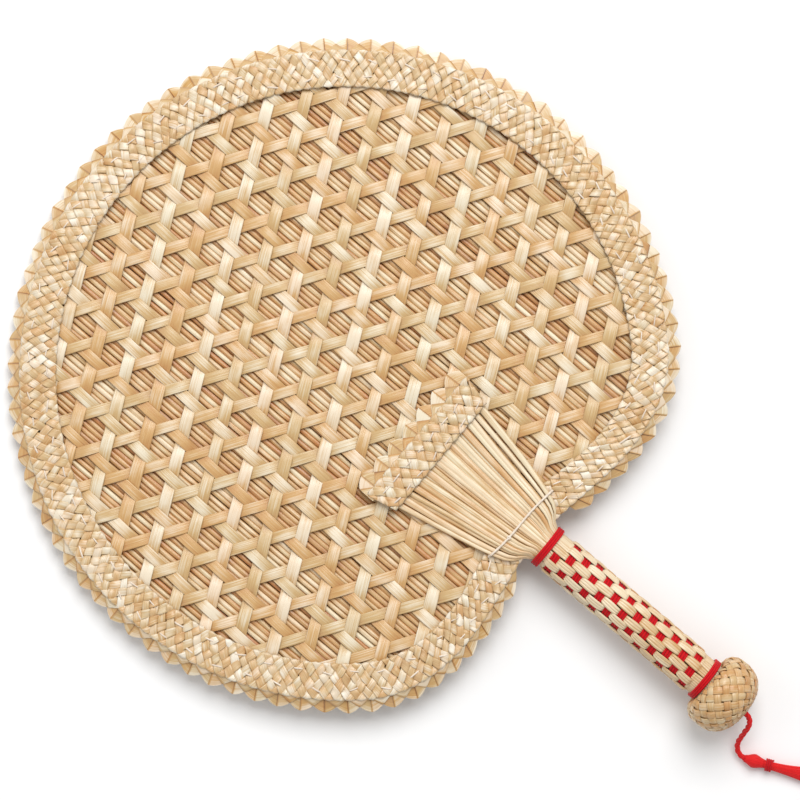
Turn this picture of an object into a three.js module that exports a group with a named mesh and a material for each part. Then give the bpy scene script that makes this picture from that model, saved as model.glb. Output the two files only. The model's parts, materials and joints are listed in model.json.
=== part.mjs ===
// A woven straw and palm leaf hand fan, lying face up on its pommel and the far rim of its blade.
// Millimetres, +Z up. The handle points along -Y, and the face of the blade looks up.

import * as THREE from 'three';

// Blade outline: a disc whose near edge draws in towards the handle
const BLADE_RADIUS = 156;
const NOTCH_DEPTH = 33;
const NOTCH_HALF_ANGLE = THREE.MathUtils.degToRad(46);

// Border: flat braids on both faces, with folded points between them
const POINT_HEIGHT = 6;
const POINT_VALLEY = 3.2;
const POINT_COUNT = 88;
const BORDER_WIDTH = 17;
const BRAID_THICKNESS = 1.4;
const BORDER_STEPS = 72;
const RIM_CLEARANCE = 1.6;

// Backing straws, along the handle
const STRAW_PITCH = 2.4;
const STRAW_THICKNESS = 1.6;
const STRAW_WAIST = 0.8;

// Lattice strips: the direction across each set, its pitch, and its first strip in pitches
const STRIP_WIDTH = 5.3;
const STRIP_THICKNESS = 0.3;
const STRIP_TURN_WIDTH = 6;
const UPRIGHT_SET = { across: THREE.MathUtils.degToRad(-2.4), pitch: 16.2, first: 0.487 };
const FALLING_SET = { across: THREE.MathUtils.degToRad(-123.7), pitch: 15.8, first: 0.02 };

// Clearance between pieces that touch
const GAP = 0.3;

// Handle: a stick, stakes of flat straw and a red band woven through them
const HANDLE_LENGTH = 94;
const STICK_RADIUS = 6.6;
const STAKE_COUNT = 15;
const STAKE_THICKNESS = 0.9;
const STAKE_SIDE_GAP = 0.35;
const BAND_WIDTH = 3.6;
const BAND_THICKNESS = 0.8;
const BAND_PITCH = 6.7;
const BAND_LEAD = 1.2;
const WINDING_STEPS = 24;

// Red yarn bindings at the two ends of the handle
const YARN_DIAMETER = 1.2;
const YARN_PITCH = 1.7;
const YARN_SIDES = 6;
const UPPER_TURNS = 2;
const LOWER_TURNS = 3;
const STAKE_END = 0.4;

// Sprays: the stakes near each face run on over the blade and spread
const SPRAY_REACH = THREE.MathUtils.degToRad(65);
const SPRAY_NECK = 10.2;
const SPRAY_SHOULDER = 6.4;
const SPRAY_SHOULDER_RUN = 7;
const SPRAY_FLARE = 0.225;
const SPRAY_THICKNESS = 2;
const SPRAY_DOME = 3.8;
const SPRAY_DOME_RUN = 9;
const SPRAY_FIRST_STATION = 5.6;
const SPRAY_LENGTH = 64;

// Short braid and points across the wide end of each spray
const SHORT_BRAID_WIDTH = 15.2;
const SHORT_BRAID_OVERHANG = 1.2;
const SHORT_POINT_COUNT = 7;
const SHORT_POINT_HEIGHT = 7.4;
const SHORT_POINT_ROOT = 3;
const SHORT_POINT_THICKNESS = 1.6;

// White thread across each spray
const THREAD_DIAMETER = 0.9;
const TIE_FROM_NECK = 16.5;
const TIE_OVERHANG = 1.6;
const TIE_SHARES = [-1.02, -0.7, -0.35, 0, 0.35, 0.7, 1.02];

// Pommel: a squashed ball with a flat shoulder round the handle, a woven cover over a filling
const POMMEL_RADIUS = 18;
const POMMEL_LENGTH = 27.2;
const POMMEL_SHOULDER = 6.8;
const POMMEL_SQUARENESS = 2.4;
const COVER_THICKNESS = 1.2;
const SOCKET_DEPTH = 9;
const POMMEL_ROWS = 10;
const ROUND_STEPS = 24;

// Tassel: a cord from the pommel's end, a head, a skirt of threads and the neck binding
const CORD_DIAMETER = 2.8;
const CORD_SIDES = 8;
const CORD_STEPS = 18;
const HEAD_RADIUS = 3.1;
const HEAD_LENGTH = 9;
const HEAD_SHOULDER = 3.6;
const HEAD_TAPER = 2.7;
const HEAD_WALL = 0.7;
const NECK_RADIUS = 2.1;
const NECK_LENGTH = 5.4;
const NECK_THREAD = 0.8;
const NECK_PITCH = 1.3;
const NECK_TURNS = 3;
const SKIRT_LENGTH = 60;
const SKIRT_HALF_WIDTH = 4.8;
const SKIRT_HALF_HEIGHT = 2.6;
const SKIRT_BEND = 5;
const SKIRT_SPREAD_RUN = 25;
const SKIRT_SIDES = 10;
const TASSEL_HEADING = THREE.MathUtils.degToRad(-66);
const CORD_LAP = 1;

// The cord's route from the pommel's end: millimetres across and along, and the share of the height left
const CORD_ROUTE = [
  [0, -0.3, 1],
  [0, -1.2, 1],
  [-0.2, -2.4, 0.98],
  [-0.8, -3.7, 0.95],
  [-1.8, -4.9, 0.9],
  [-3.2, -5.8, 0.83],
  [-4.8, -6.4, 0.72],
  [-6.8, -6.9, 0.57],
  [-8.8, -7.4, 0.42],
  [-10.7, -7.9, 0.28],
  [-12.5, -8.6, 0.16],
  [-14.1, -9.7, 0.07],
  [-15.4, -11.2, 0.02],
  [-16.2, -13.1, 0],
  [-16.3, -15.1, 0],
  [-15.8, -17, 0],
];

const STRAW = new THREE.MeshStandardMaterial({ color: 0xd9b67c, roughness: 0.55, metalness: 0 });
const LEAF = new THREE.MeshStandardMaterial({ color: 0xe6cd9c, roughness: 0.5, metalness: 0 });
const RED_YARN = new THREE.MeshStandardMaterial({ color: 0xb0101f, roughness: 0.8, metalness: 0 });
const WHITE_THREAD = new THREE.MeshStandardMaterial({ color: 0xf1e8e2, roughness: 0.8, metalness: 0 });
const CANE = new THREE.MeshStandardMaterial({ color: 0xb98c52, roughness: 0.7, metalness: 0 });

// Levels above the blade's middle plane, the same on both faces
const matTop = STRAW_THICKNESS / 2;
const stripLevel = (layer) => matTop + GAP + layer * (STRIP_THICKNESS + GAP);
const latticeTop = stripLevel(2) + STRIP_THICKNESS;
const braidBottom = latticeTop + GAP;
const braidTop = braidBottom + BRAID_THICKNESS;
const sprayOnLattice = latticeTop + GAP;
const sprayOnBraid = braidTop + GAP;
const shortBraidBottom = sprayOnLattice + SPRAY_THICKNESS + GAP;

// Distances in from the tips of the points
const borderMiddle = POINT_HEIGHT + BORDER_WIDTH / 2;
const rimInset = borderMiddle + RIM_CLEARANCE / 2;
const edgingInset = borderMiddle - RIM_CLEARANCE / 2;

// Radii of the handle's layers
const stakeUnder = STICK_RADIUS + GAP;
const bandInner = stakeUnder + STAKE_THICKNESS + GAP;
const bandOuter = bandInner + BAND_THICKNESS;
const stakeOver = bandOuter + GAP;
const stakeBound = bandInner + GAP;
const yarnRadius = stakeBound + STAKE_THICKNESS + GAP + YARN_DIAMETER / 2;
const bindingOuter = yarnRadius + YARN_DIAMETER / 2;

// Places along the handle
const neckY = NOTCH_DEPTH - BLADE_RADIUS;
const lowerY = neckY - HANDLE_LENGTH;
const bindingHalf = (turns) => (turns * YARN_PITCH + YARN_DIAMETER) / 2;
const bandRoom = BAND_WIDTH / 2 + BAND_LEAD;
const bandTop = neckY - bindingHalf(UPPER_TURNS) - bandRoom;
const bandBottom = lowerY + bindingHalf(LOWER_TURNS) + bandRoom;
const crossings = Math.floor(((bandTop - bandBottom) / BAND_PITCH) * STAKE_COUNT);
const stakeTop = neckY + bindingHalf(UPPER_TURNS) + STAKE_END;
const stakeFoot = lowerY - bindingHalf(LOWER_TURNS) - STAKE_END;

// Turns a closed body's faces outwards
function outward(geometry) {
  const body = geometry.index ? geometry.toNonIndexed() : geometry;
  const place = body.getAttribute('position');
  const [a, b, c] = [new THREE.Vector3(), new THREE.Vector3(), new THREE.Vector3()];
  let volume = 0;
  for (let i = 0; i < place.count; i += 3) {
    a.fromBufferAttribute(place, i);
    b.fromBufferAttribute(place, i + 1);
    c.fromBufferAttribute(place, i + 2);
    volume += a.dot(b.cross(c));
  }
  if (volume < 0) {
    for (let i = 0; i < place.count; i += 3) {
      b.fromBufferAttribute(place, i + 1);
      c.fromBufferAttribute(place, i + 2);
      place.setXYZ(i + 1, c.x, c.y, c.z);
      place.setXYZ(i + 2, b.x, b.y, b.z);
    }
  }
  body.computeVertexNormals();
  return body;
}

// Makes a body from shared points and the triangles between them
function solid(points, triangles) {
  const geometry = new THREE.BufferGeometry().setFromPoints(points);
  geometry.setIndex(triangles.flat());
  return outward(geometry);
}

// Joins a run of rings of points into one closed body with flat ends
function loft(rings) {
  const sides = rings[0].length;
  const triangles = [];
  for (let i = 0; i + 1 < rings.length; i++) {
    for (let j = 0; j < sides; j++) {
      const near = i * sides + j;
      const next = i * sides + ((j + 1) % sides);
      triangles.push([near, next, next + sides], [near, next + sides, near + sides]);
    }
  }
  const last = (rings.length - 1) * sides;
  for (let j = 1; j + 1 < sides; j++) {
    triangles.push([0, j + 1, j], [last, last + j, last + j + 1]);
  }
  return solid(rings.flat(), triangles);
}

// A flat plate with a given outline, between two levels
function plate(outline, bottom, top, hole = null) {
  const shape = new THREE.Shape(outline);
  if (hole) shape.holes.push(new THREE.Path(hole));
  const geometry = new THREE.ExtrudeGeometry(shape, { depth: top - bottom, bevelEnabled: false });
  return outward(geometry.translate(0, 0, bottom));
}

// A round tube along a route
function tube(route, radius, sides, steps) {
  const section = new THREE.Shape(
    Array.from({ length: sides }, (_, i) => {
      const turn = ((i + 0.5) / sides) * 2 * Math.PI;
      return new THREE.Vector2(radius * Math.cos(turn), radius * Math.sin(turn));
    }),
  );
  const path = new THREE.CatmullRomCurve3(route);
  return outward(new THREE.ExtrudeGeometry(section, { steps, extrudePath: path, bevelEnabled: false }));
}

// A body of revolution round the handle's axis
const turned = (profile) => outward(new THREE.LatheGeometry(profile, ROUND_STEPS));

// Measures how close a winding comes to its own next turn, on the points of its rings
function printLeastGap(name, rings) {
  let least = Infinity;
  const apart = Math.floor(WINDING_STEPS * 0.75);
  for (let i = 0; i < rings.length; i++) {
    for (let j = i + apart; j < Math.min(rings.length, i + 2 * WINDING_STEPS); j++) {
      for (const p of rings[i]) {
        for (const q of rings[j]) least = Math.min(least, p.distanceTo(q));
      }
    }
  }
  console.log(`${name}: least gap to itself ${least.toFixed(2)} mm`);
}

// The blade's radius at an angle from the handle, a distance in from the tips of the points
function rimRadius(angle, inset) {
  const off = Math.abs(Math.atan2(Math.sin(angle), Math.cos(angle)));
  const drawn = off < NOTCH_HALF_ANGLE ? (1 + Math.cos((Math.PI * off) / NOTCH_HALF_ANGLE)) / 2 : 0;
  return BLADE_RADIUS - NOTCH_DEPTH * drawn - inset;
}

function rimPoint(angle, inset) {
  const radius = rimRadius(angle, inset);
  return new THREE.Vector2(radius * Math.sin(angle), -radius * Math.cos(angle));
}

// Follows a line from a point inside the rim to the rim
function reach(from, along, inset) {
  const point = new THREE.Vector2();
  let inside = 0;
  let outside = 2 * BLADE_RADIUS;
  for (let i = 0; i < 40; i++) {
    const middle = (inside + outside) / 2;
    point.copy(from).addScaledVector(along, middle);
    const within = point.length() < rimRadius(Math.atan2(point.x, -point.y), inset);
    if (within) inside = middle;
    else outside = middle;
  }
  return point.copy(from).addScaledVector(along, inside);
}

// The backing: straws side by side, thick at their middles and thin where they meet
function strawBacking() {
  const up = new THREE.Vector2(0, 1);
  const down = new THREE.Vector2(0, -1);
  const count = Math.floor((2 * (rimRadius(Math.PI / 2, rimInset) - STRAW_PITCH)) / STRAW_PITCH);
  const points = [];
  const triangles = [];
  for (let i = 0; i <= 2 * count; i++) {
    const start = new THREE.Vector2(((i - count) * STRAW_PITCH) / 2, 0);
    const half = (i % 2 ? STRAW_THICKNESS : STRAW_WAIST) / 2;
    for (const end of [reach(start, up, rimInset), reach(start, down, rimInset)]) {
      points.push(new THREE.Vector3(end.x, end.y, half), new THREE.Vector3(end.x, end.y, -half));
    }
  }
  for (let i = 0; i < 2 * count; i++) {
    const [farTop, farUnder, nearTop, nearUnder] = [0, 1, 2, 3].map((corner) => 4 * i + corner);
    triangles.push([farTop, nearTop, nearTop + 4], [farTop, nearTop + 4, farTop + 4]);
    triangles.push([farUnder, nearUnder + 4, nearUnder], [farUnder, farUnder + 4, nearUnder + 4]);
    triangles.push([farTop, farTop + 4, farUnder + 4], [farTop, farUnder + 4, farUnder]);
    triangles.push([nearTop, nearUnder + 4, nearTop + 4], [nearTop, nearUnder, nearUnder + 4]);
  }
  const last = 8 * count;
  triangles.push([0, 1, 3], [0, 3, 2], [last, last + 3, last + 1], [last, last + 2, last + 3]);
  return solid(points, triangles);
}

// The third set of strips, which runs midway between the crossings of the other two
function risingSet() {
  const wave = (set) => new THREE.Vector2(Math.cos(set.across), Math.sin(set.across)).divideScalar(set.pitch);
  const sum = wave(UPRIGHT_SET).add(wave(FALLING_SET));
  return {
    across: sum.angle(),
    pitch: 1 / sum.length(),
    first: UPRIGHT_SET.first + FALLING_SET.first + 0.5,
  };
}

// One set of lattice strips: strip after strip, turned back at the rim, under the border
function stripSet(set) {
  const across = new THREE.Vector2(Math.cos(set.across), Math.sin(set.across));
  const ahead = new THREE.Vector2(-across.y, across.x);
  const back = ahead.clone().negate();
  const turnInset = rimInset + STRIP_TURN_WIDTH;
  const fits = (offset) => {
    const side = across.clone().multiplyScalar(offset + (Math.sign(offset) * STRIP_WIDTH) / 2);
    return side.length() < rimRadius(Math.atan2(side.x, -side.y), turnInset) - STRIP_WIDTH;
  };
  const offsets = [];
  const most = Math.ceil(BLADE_RADIUS / set.pitch);
  for (let m = -most; m <= most; m++) {
    const offset = (m + (set.first % 1)) * set.pitch;
    if (fits(offset)) offsets.push(offset);
  }
  const end = (offset, way, inset) => reach(across.clone().multiplyScalar(offset), way, inset);
  const left = (i) => offsets[i] - STRIP_WIDTH / 2;
  const right = (i) => offsets[i] + STRIP_WIDTH / 2;
  const lastStrip = offsets.length - 1;
  const outline = [];
  for (let i = 0; i <= lastStrip; i++) {
    if (i % 2 === 0) {
      outline.push(end(left(i), back, i === 0 ? rimInset : turnInset), end(left(i), ahead, rimInset));
    } else {
      outline.push(end(right(i), ahead, rimInset));
      outline.push(end(right(i), back, i === lastStrip ? rimInset : turnInset));
    }
  }
  for (let i = lastStrip; i >= 0; i--) {
    if (i % 2 === 0) {
      outline.push(end(right(i), ahead, i === lastStrip ? rimInset : turnInset));
      outline.push(end(right(i), back, rimInset));
    } else {
      outline.push(end(left(i), back, rimInset), end(left(i), ahead, turnInset));
    }
  }
  return outline;
}

// A border braid: a flat band round the blade
function borderBraid(bottom, top) {
  const ring = (inset) =>
    Array.from({ length: BORDER_STEPS }, (_, i) => rimPoint((i / BORDER_STEPS) * 2 * Math.PI, inset));
  return plate(ring(POINT_HEIGHT), bottom, top, ring(POINT_HEIGHT + BORDER_WIDTH));
}

// Angles that divide the tip line into equal lengths
function equalSteps(count) {
  const fine = 40 * count;
  const walked = [0];
  for (let i = 1; i <= fine; i++) {
    const before = rimPoint(((i - 1) / fine) * 2 * Math.PI, 0);
    walked.push(walked[i - 1] + before.distanceTo(rimPoint((i / fine) * 2 * Math.PI, 0)));
  }
  return Array.from({ length: count }, (_, i) => {
    const target = (i / count) * walked[fine];
    const at = walked.findIndex((length) => length >= target);
    return (at / fine) * 2 * Math.PI;
  });
}

// The edging: folded points that slope from the border out to their tips
function pointedEdging() {
  const angles = equalSteps(2 * POINT_COUNT);
  const place = (angle, inset, level) => {
    const flat = rimPoint(angle, inset);
    return new THREE.Vector3(flat.x, flat.y, level);
  };
  const outermost = (angle, inset) => {
    const tip = rimPoint(angle, 0);
    const besideHandle = tip.y < 0 && Math.abs(tip.x) < bindingOuter + POINT_HEIGHT;
    return place(angle, besideHandle ? POINT_HEIGHT : inset, 0);
  };
  const points = [];
  for (let i = 0; i < POINT_COUNT; i++) {
    const [valley, middle] = [angles[2 * i], angles[2 * i + 1]];
    points.push(
      place(valley, edgingInset, latticeTop),
      place(valley, edgingInset, -latticeTop),
      outermost(valley, POINT_VALLEY),
      place(middle, POINT_HEIGHT, latticeTop),
      place(middle, POINT_HEIGHT, -latticeTop),
      outermost(middle, 0),
    );
  }
  const triangles = [];
  for (let i = 0; i < POINT_COUNT; i++) {
    const [root, rootUnder, valley, crest, crestUnder, tip] = [0, 1, 2, 3, 4, 5].map((k) => 6 * i + k);
    const next = 6 * ((i + 1) % POINT_COUNT);
    const [nextRoot, nextUnder, nextValley] = [next, next + 1, next + 2];
    triangles.push([root, valley, crest], [root, crest, nextRoot], [nextRoot, crest, nextValley]);
    triangles.push([valley, tip, crest], [crest, tip, nextValley]);
    triangles.push([rootUnder, crestUnder, valley], [rootUnder, nextUnder, crestUnder]);
    triangles.push([nextUnder, nextValley, crestUnder]);
    triangles.push([valley, crestUnder, tip], [crestUnder, nextValley, tip]);
    triangles.push([root, nextRoot, nextUnder], [root, nextUnder, rootUnder]);
  }
  return solid(points, triangles);
}

// The spray's half-width, underside and rise in the middle, at a distance up from the neck
const sprayHalfWidth = (up) =>
  SPRAY_NECK + SPRAY_FLARE * up + SPRAY_SHOULDER * (1 - Math.exp(-up / SPRAY_SHOULDER_RUN));
const sprayDome = (up) => SPRAY_DOME * Math.exp(-up / SPRAY_DOME_RUN);

const borderEnds = POINT_HEIGHT + BORDER_WIDTH;
const sprayOffBorder = borderEnds + POINT_HEIGHT;
const sprayEnd = SPRAY_LENGTH + SHORT_BRAID_WIDTH - SHORT_POINT_ROOT - GAP;

function sprayUnderside(up) {
  const down = THREE.MathUtils.clamp((up - borderEnds) / (sprayOffBorder - borderEnds), 0, 1);
  return THREE.MathUtils.lerp(sprayOnBraid, sprayOnLattice, down);
}

const sprayStations = [
  SPRAY_FIRST_STATION,
  (SPRAY_FIRST_STATION + TIE_FROM_NECK) / 2,
  TIE_FROM_NECK,
  borderEnds,
  sprayOffBorder,
  (sprayOffBorder + sprayEnd) / 2,
  sprayEnd,
];

// The four corners of a stake's section round the handle
function stakeSection(y, radius, middle, half) {
  const corner = (turn, out) => new THREE.Vector3(out * Math.sin(turn), y, out * Math.cos(turn));
  const outer = radius + STAKE_THICKNESS;
  return [
    corner(middle - half, radius),
    corner(middle + half, radius),
    corner(middle + half, outer),
    corner(middle - half, outer),
  ];
}

// The four corners of a stake's section in a spray, as one of a number of stakes across
function spraySection(up, index, count, face) {
  const half = sprayHalfWidth(up);
  const edge = (share, side) => half * share + (side * STAKE_SIDE_GAP) / 2;
  const left = edge((2 * index) / count - 1, 1);
  const right = edge((2 * index + 2) / count - 1, -1);
  const level = (x) => sprayUnderside(up) + sprayDome(up) * (1 - (x / half) ** 2);
  const corner = (x, rise) => new THREE.Vector3(x, neckY + up, face * (level(x) + rise));
  return [
    corner(left, 0),
    corner(right, 0),
    corner(right, SPRAY_THICKNESS),
    corner(left, SPRAY_THICKNESS),
  ];
}

// A stake: over and under the red band along the handle, and out into a spray if it is near a face
function stake(index) {
  const pitch = (2 * Math.PI) / STAKE_COUNT;
  const turn = -(index + 0.5) * pitch;
  const middle = Math.atan2(Math.sin(turn), Math.cos(turn));
  const half = pitch / 2 - STAKE_SIDE_GAP / (2 * stakeUnder);
  const flat = BAND_WIDTH / 2 + BAND_PITCH / STAKE_COUNT;
  const stakesWithin = (toFace) => Math.abs(toFace) <= SPRAY_REACH;
  const toBack = Math.atan2(Math.sin(Math.PI - middle), Math.cos(Math.PI - middle));
  const face = stakesWithin(middle) ? 1 : -1;
  const toFace = face > 0 ? middle : toBack;
  const rings = [];
  if (stakesWithin(toFace)) {
    const all = Array.from({ length: STAKE_COUNT }, (_, i) => {
      const other = -(i + 0.5) * pitch;
      const lean = face > 0 ? other : Math.PI - other;
      return Math.atan2(Math.sin(lean), Math.cos(lean));
    });
    const shown = all.filter(stakesWithin).sort((a, b) => a - b);
    const rank = shown.findIndex((lean) => Math.abs(lean - toFace) < pitch / 2);
    for (const up of [...sprayStations].reverse()) {
      rings.push(spraySection(up, rank, shown.length, face));
    }
    if (face < 0) {
      for (const ring of rings) [ring[0], ring[1], ring[2], ring[3]] = [ring[1], ring[0], ring[3], ring[2]];
    }
    const bound = stakeSection(stakeTop, stakeBound, middle, half);
    rings.push(rings.at(-1).map((corner, i) => corner.clone().lerp(bound[i], 0.5)));
  }
  rings.push(stakeSection(stakeTop, stakeBound, middle, half));
  rings.push(stakeSection(neckY - bindingHalf(UPPER_TURNS), stakeBound, middle, half));
  for (let crossing = index; crossing < crossings; crossing += STAKE_COUNT) {
    const y = bandTop - (BAND_PITCH * (crossing + 0.5)) / STAKE_COUNT;
    const radius = crossing % 2 ? stakeOver : stakeUnder;
    rings.push(stakeSection(y + flat, radius, middle, half), stakeSection(y - flat, radius, middle, half));
  }
  rings.push(stakeSection(lowerY + bindingHalf(LOWER_TURNS), stakeBound, middle, half));
  rings.push(stakeSection(stakeFoot, stakeBound, middle, half));
  return loft(rings);
}

// The red band: one flat strip of yarn wound down the handle through the stakes
function redBand() {
  const steps = Math.round((crossings / STAKE_COUNT) * WINDING_STEPS);
  const rings = Array.from({ length: steps + 1 }, (_, i) => {
    const turns = ((i / steps) * crossings) / STAKE_COUNT;
    const angle = -2 * Math.PI * turns;
    const y = bandTop - BAND_PITCH * turns;
    const corner = (radius, rise) =>
      new THREE.Vector3(radius * Math.sin(angle), y + rise, radius * Math.cos(angle));
    return [
      corner(bandInner, -BAND_WIDTH / 2),
      corner(bandOuter, -BAND_WIDTH / 2),
      corner(bandOuter, BAND_WIDTH / 2),
      corner(bandInner, BAND_WIDTH / 2),
    ];
  });
  printLeastGap('red band', rings);
  return loft(rings);
}

// A binding: round yarn wound a few turns about the Y axis
function winding(name, radius, thickness, pitch, turns, centre) {
  const steps = turns * WINDING_STEPS;
  const rings = Array.from({ length: steps + 1 }, (_, i) => {
    const angle = (2 * Math.PI * i) / WINDING_STEPS;
    const y = centre + (turns * pitch) / 2 - (pitch * i) / WINDING_STEPS;
    return Array.from({ length: YARN_SIDES }, (_, j) => {
      const side = (2 * Math.PI * j) / YARN_SIDES;
      const out = radius + (thickness / 2) * Math.cos(side);
      const rise = (thickness / 2) * Math.sin(side);
      return new THREE.Vector3(out * Math.sin(angle), y + rise, out * Math.cos(angle));
    });
  });
  printLeastGap(name, rings);
  return loft(rings);
}

const handleStick = () => {
  const top = -rimRadius(0, POINT_HEIGHT) - 2 * GAP;
  const foot = socketBottom + GAP;
  return outward(
    new THREE.CylinderGeometry(STICK_RADIUS, STICK_RADIUS, top - foot, ROUND_STEPS).translate(
      0,
      (top + foot) / 2,
      0,
    ),
  );
};

// The short braid over a spray's wide end, as wide as the spray there
function shortBraid(face) {
  const corner = (up, side) => {
    const half = sprayHalfWidth(up) + SHORT_BRAID_OVERHANG;
    return new THREE.Vector2(side * half, neckY + up);
  };
  const far = SPRAY_LENGTH + SHORT_BRAID_WIDTH;
  const outline = [corner(SPRAY_LENGTH, -1), corner(SPRAY_LENGTH, 1), corner(far, 1), corner(far, -1)];
  const levels = [face * shortBraidBottom, face * (shortBraidBottom + BRAID_THICKNESS)];
  return plate(outline, Math.min(...levels), Math.max(...levels));
}

// The row of points along the far edge of a short braid
function shortPoints(face) {
  const far = SPRAY_LENGTH + SHORT_BRAID_WIDTH;
  const half = sprayHalfWidth(far) + SHORT_BRAID_OVERHANG;
  const width = (2 * half) / SHORT_POINT_COUNT;
  const root = neckY + far - SHORT_POINT_ROOT;
  const outline = [new THREE.Vector2(-half, root), new THREE.Vector2(half, root)];
  for (let i = 0; i < SHORT_POINT_COUNT; i++) {
    const right = half - i * width;
    outline.push(new THREE.Vector2(right, neckY + far));
    outline.push(new THREE.Vector2(right - width / 2, neckY + far + SHORT_POINT_HEIGHT));
  }
  outline.push(new THREE.Vector2(-half, neckY + far));
  const top = shortBraidBottom - GAP;
  const levels = [face * (top - SHORT_POINT_THICKNESS), face * top];
  return plate(outline, Math.min(...levels), Math.max(...levels));
}

// White thread over a spray, down to the border at both sides
function tieThread(face) {
  const half = sprayHalfWidth(TIE_FROM_NECK);
  const clear = GAP + THREAD_DIAMETER / 2;
  const place = (x, level) => new THREE.Vector3(x, neckY + TIE_FROM_NECK, face * level);
  const over = sprayOnBraid + SPRAY_THICKNESS + clear;
  const route = [place(-half - TIE_OVERHANG, braidTop + clear)];
  for (const share of TIE_SHARES) {
    route.push(place(share * half, over + sprayDome(TIE_FROM_NECK) * Math.max(0, 1 - share * share)));
  }
  route.push(place(half + TIE_OVERHANG, braidTop + clear));
  return tube(route, THREAD_DIAMETER / 2, YARN_SIDES, 2 * route.length);
}

// Places in the pommel, whose shoulder lies just under the lower binding
const lipRadius = stakeBound + STAKE_THICKNESS + GAP;
const cordEye = CORD_DIAMETER / 2 + GAP;
const shoulderY = lowerY - bindingHalf(LOWER_TURNS) - GAP;
const pommelY = shoulderY - POMMEL_SHOULDER;
const poleY = pommelY - POMMEL_LENGTH / 2;
const fillingTop = shoulderY - COVER_THICKNESS - GAP;
const socketBottom = fillingTop - SOCKET_DEPTH;

// Points down the pommel's side, a distance inside its surface, from one swing off its middle to another
function ballSide(inset, start, end) {
  const radius = POMMEL_RADIUS - inset;
  const half = POMMEL_LENGTH / 2 - inset;
  return Array.from({ length: POMMEL_ROWS + 1 }, (_, i) => {
    const swing = THREE.MathUtils.lerp(start, end, i / POMMEL_ROWS);
    const rise = Math.sign(swing) * Math.abs(Math.sin(swing)) ** (2 / POMMEL_SQUARENESS);
    const out = Math.cos(swing) ** (2 / POMMEL_SQUARENESS);
    return new THREE.Vector2(radius * out, pommelY + half * rise);
  });
}

// The swing off the pommel's middle where its side has a given share of the half-length or of the radius
const swingAtRise = (share) => Math.asin(Math.max(share, 0) ** (POMMEL_SQUARENESS / 2));
const swingAtRadius = (share) => Math.acos(share ** (POMMEL_SQUARENESS / 2));

// The cover, open at its lip for the handle and at its eye for the cord
function pommelCover() {
  const side = (inset) => {
    const shoulder = (POMMEL_SHOULDER - inset) / (POMMEL_LENGTH / 2 - inset);
    return ballSide(inset, swingAtRise(shoulder), -swingAtRadius(cordEye / (POMMEL_RADIUS - inset)));
  };
  const outer = side(0).reverse();
  const lip = [shoulderY, shoulderY - COVER_THICKNESS].map((y) => new THREE.Vector2(lipRadius, y));
  return turned([...outer, ...lip, ...side(COVER_THICKNESS), outer[0].clone()]);
}

function pommelFilling() {
  const inset = COVER_THICKNESS + GAP;
  const half = POMMEL_LENGTH / 2 - inset;
  const socket = STICK_RADIUS + GAP;
  const side = ballSide(inset, swingAtRise((fillingTop - pommelY) / half), -Math.PI / 2);
  return turned([
    new THREE.Vector2(0, socketBottom),
    new THREE.Vector2(socket, socketBottom),
    new THREE.Vector2(socket, fillingTop),
    ...side.slice(0, -1),
    new THREE.Vector2(0, pommelY - half),
  ]);
}

const fan = new THREE.Group();
const tassel = new THREE.Group();

function add(group, name, geometry, material) {
  const mesh = new THREE.Mesh(geometry, material);
  mesh.name = name;
  group.add(mesh);
  return mesh;
}

add(fan, 'straw_backing', strawBacking(), STRAW);
const stripSets = { upright: UPRIGHT_SET, falling: FALLING_SET, rising: risingSet() };
Object.entries(stripSets).forEach(([name, set], layer) => {
  const outline = stripSet(set);
  const bottom = stripLevel(layer);
  const top = bottom + STRIP_THICKNESS;
  add(fan, `front_strips_${name}`, plate(outline, bottom, top), LEAF);
  add(fan, `back_strips_${name}`, plate(outline, -top, -bottom), LEAF);
});
add(fan, 'front_border_braid', borderBraid(braidBottom, braidTop), LEAF);
add(fan, 'back_border_braid', borderBraid(-braidTop, -braidBottom), LEAF);
add(fan, 'pointed_edging', pointedEdging(), LEAF);
for (const [side, face] of [['front', 1], ['back', -1]]) {
  add(fan, `${side}_short_braid`, shortBraid(face), LEAF);
  add(fan, `${side}_short_points`, shortPoints(face), LEAF);
  add(fan, `${side}_tie_thread`, tieThread(face), WHITE_THREAD);
}
add(fan, 'handle_stick', handleStick(), CANE);
for (let i = 0; i < STAKE_COUNT; i++) {
  add(fan, `handle_stake_${String(i + 1).padStart(2, '0')}`, stake(i), STRAW);
}
add(fan, 'red_band', redBand(), RED_YARN);
const upperBinding = winding('upper binding', yarnRadius, YARN_DIAMETER, YARN_PITCH, UPPER_TURNS, neckY);
const lowerBinding = winding('lower binding', yarnRadius, YARN_DIAMETER, YARN_PITCH, LOWER_TURNS, lowerY);
add(fan, 'upper_binding', upperBinding, RED_YARN);
add(fan, 'lower_binding', lowerBinding, RED_YARN);
add(fan, 'pommel_filling', pommelFilling(), CANE);
add(fan, 'pommel_cover', pommelCover(), STRAW);

// The fan rests on its pommel and on the far edge of the back border, so it leans a little
const farEdge = rimRadius(Math.PI, POINT_HEIGHT);
fan.rotation.x = -Math.atan2(POMMEL_RADIUS - braidTop, farEdge - pommelY);
fan.updateMatrixWorld(true);
const box = new THREE.Box3().setFromObject(fan, true);
fan.position.set(0, -(box.min.y + box.max.y) / 2, -box.min.z);
fan.updateMatrixWorld(true);

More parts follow.
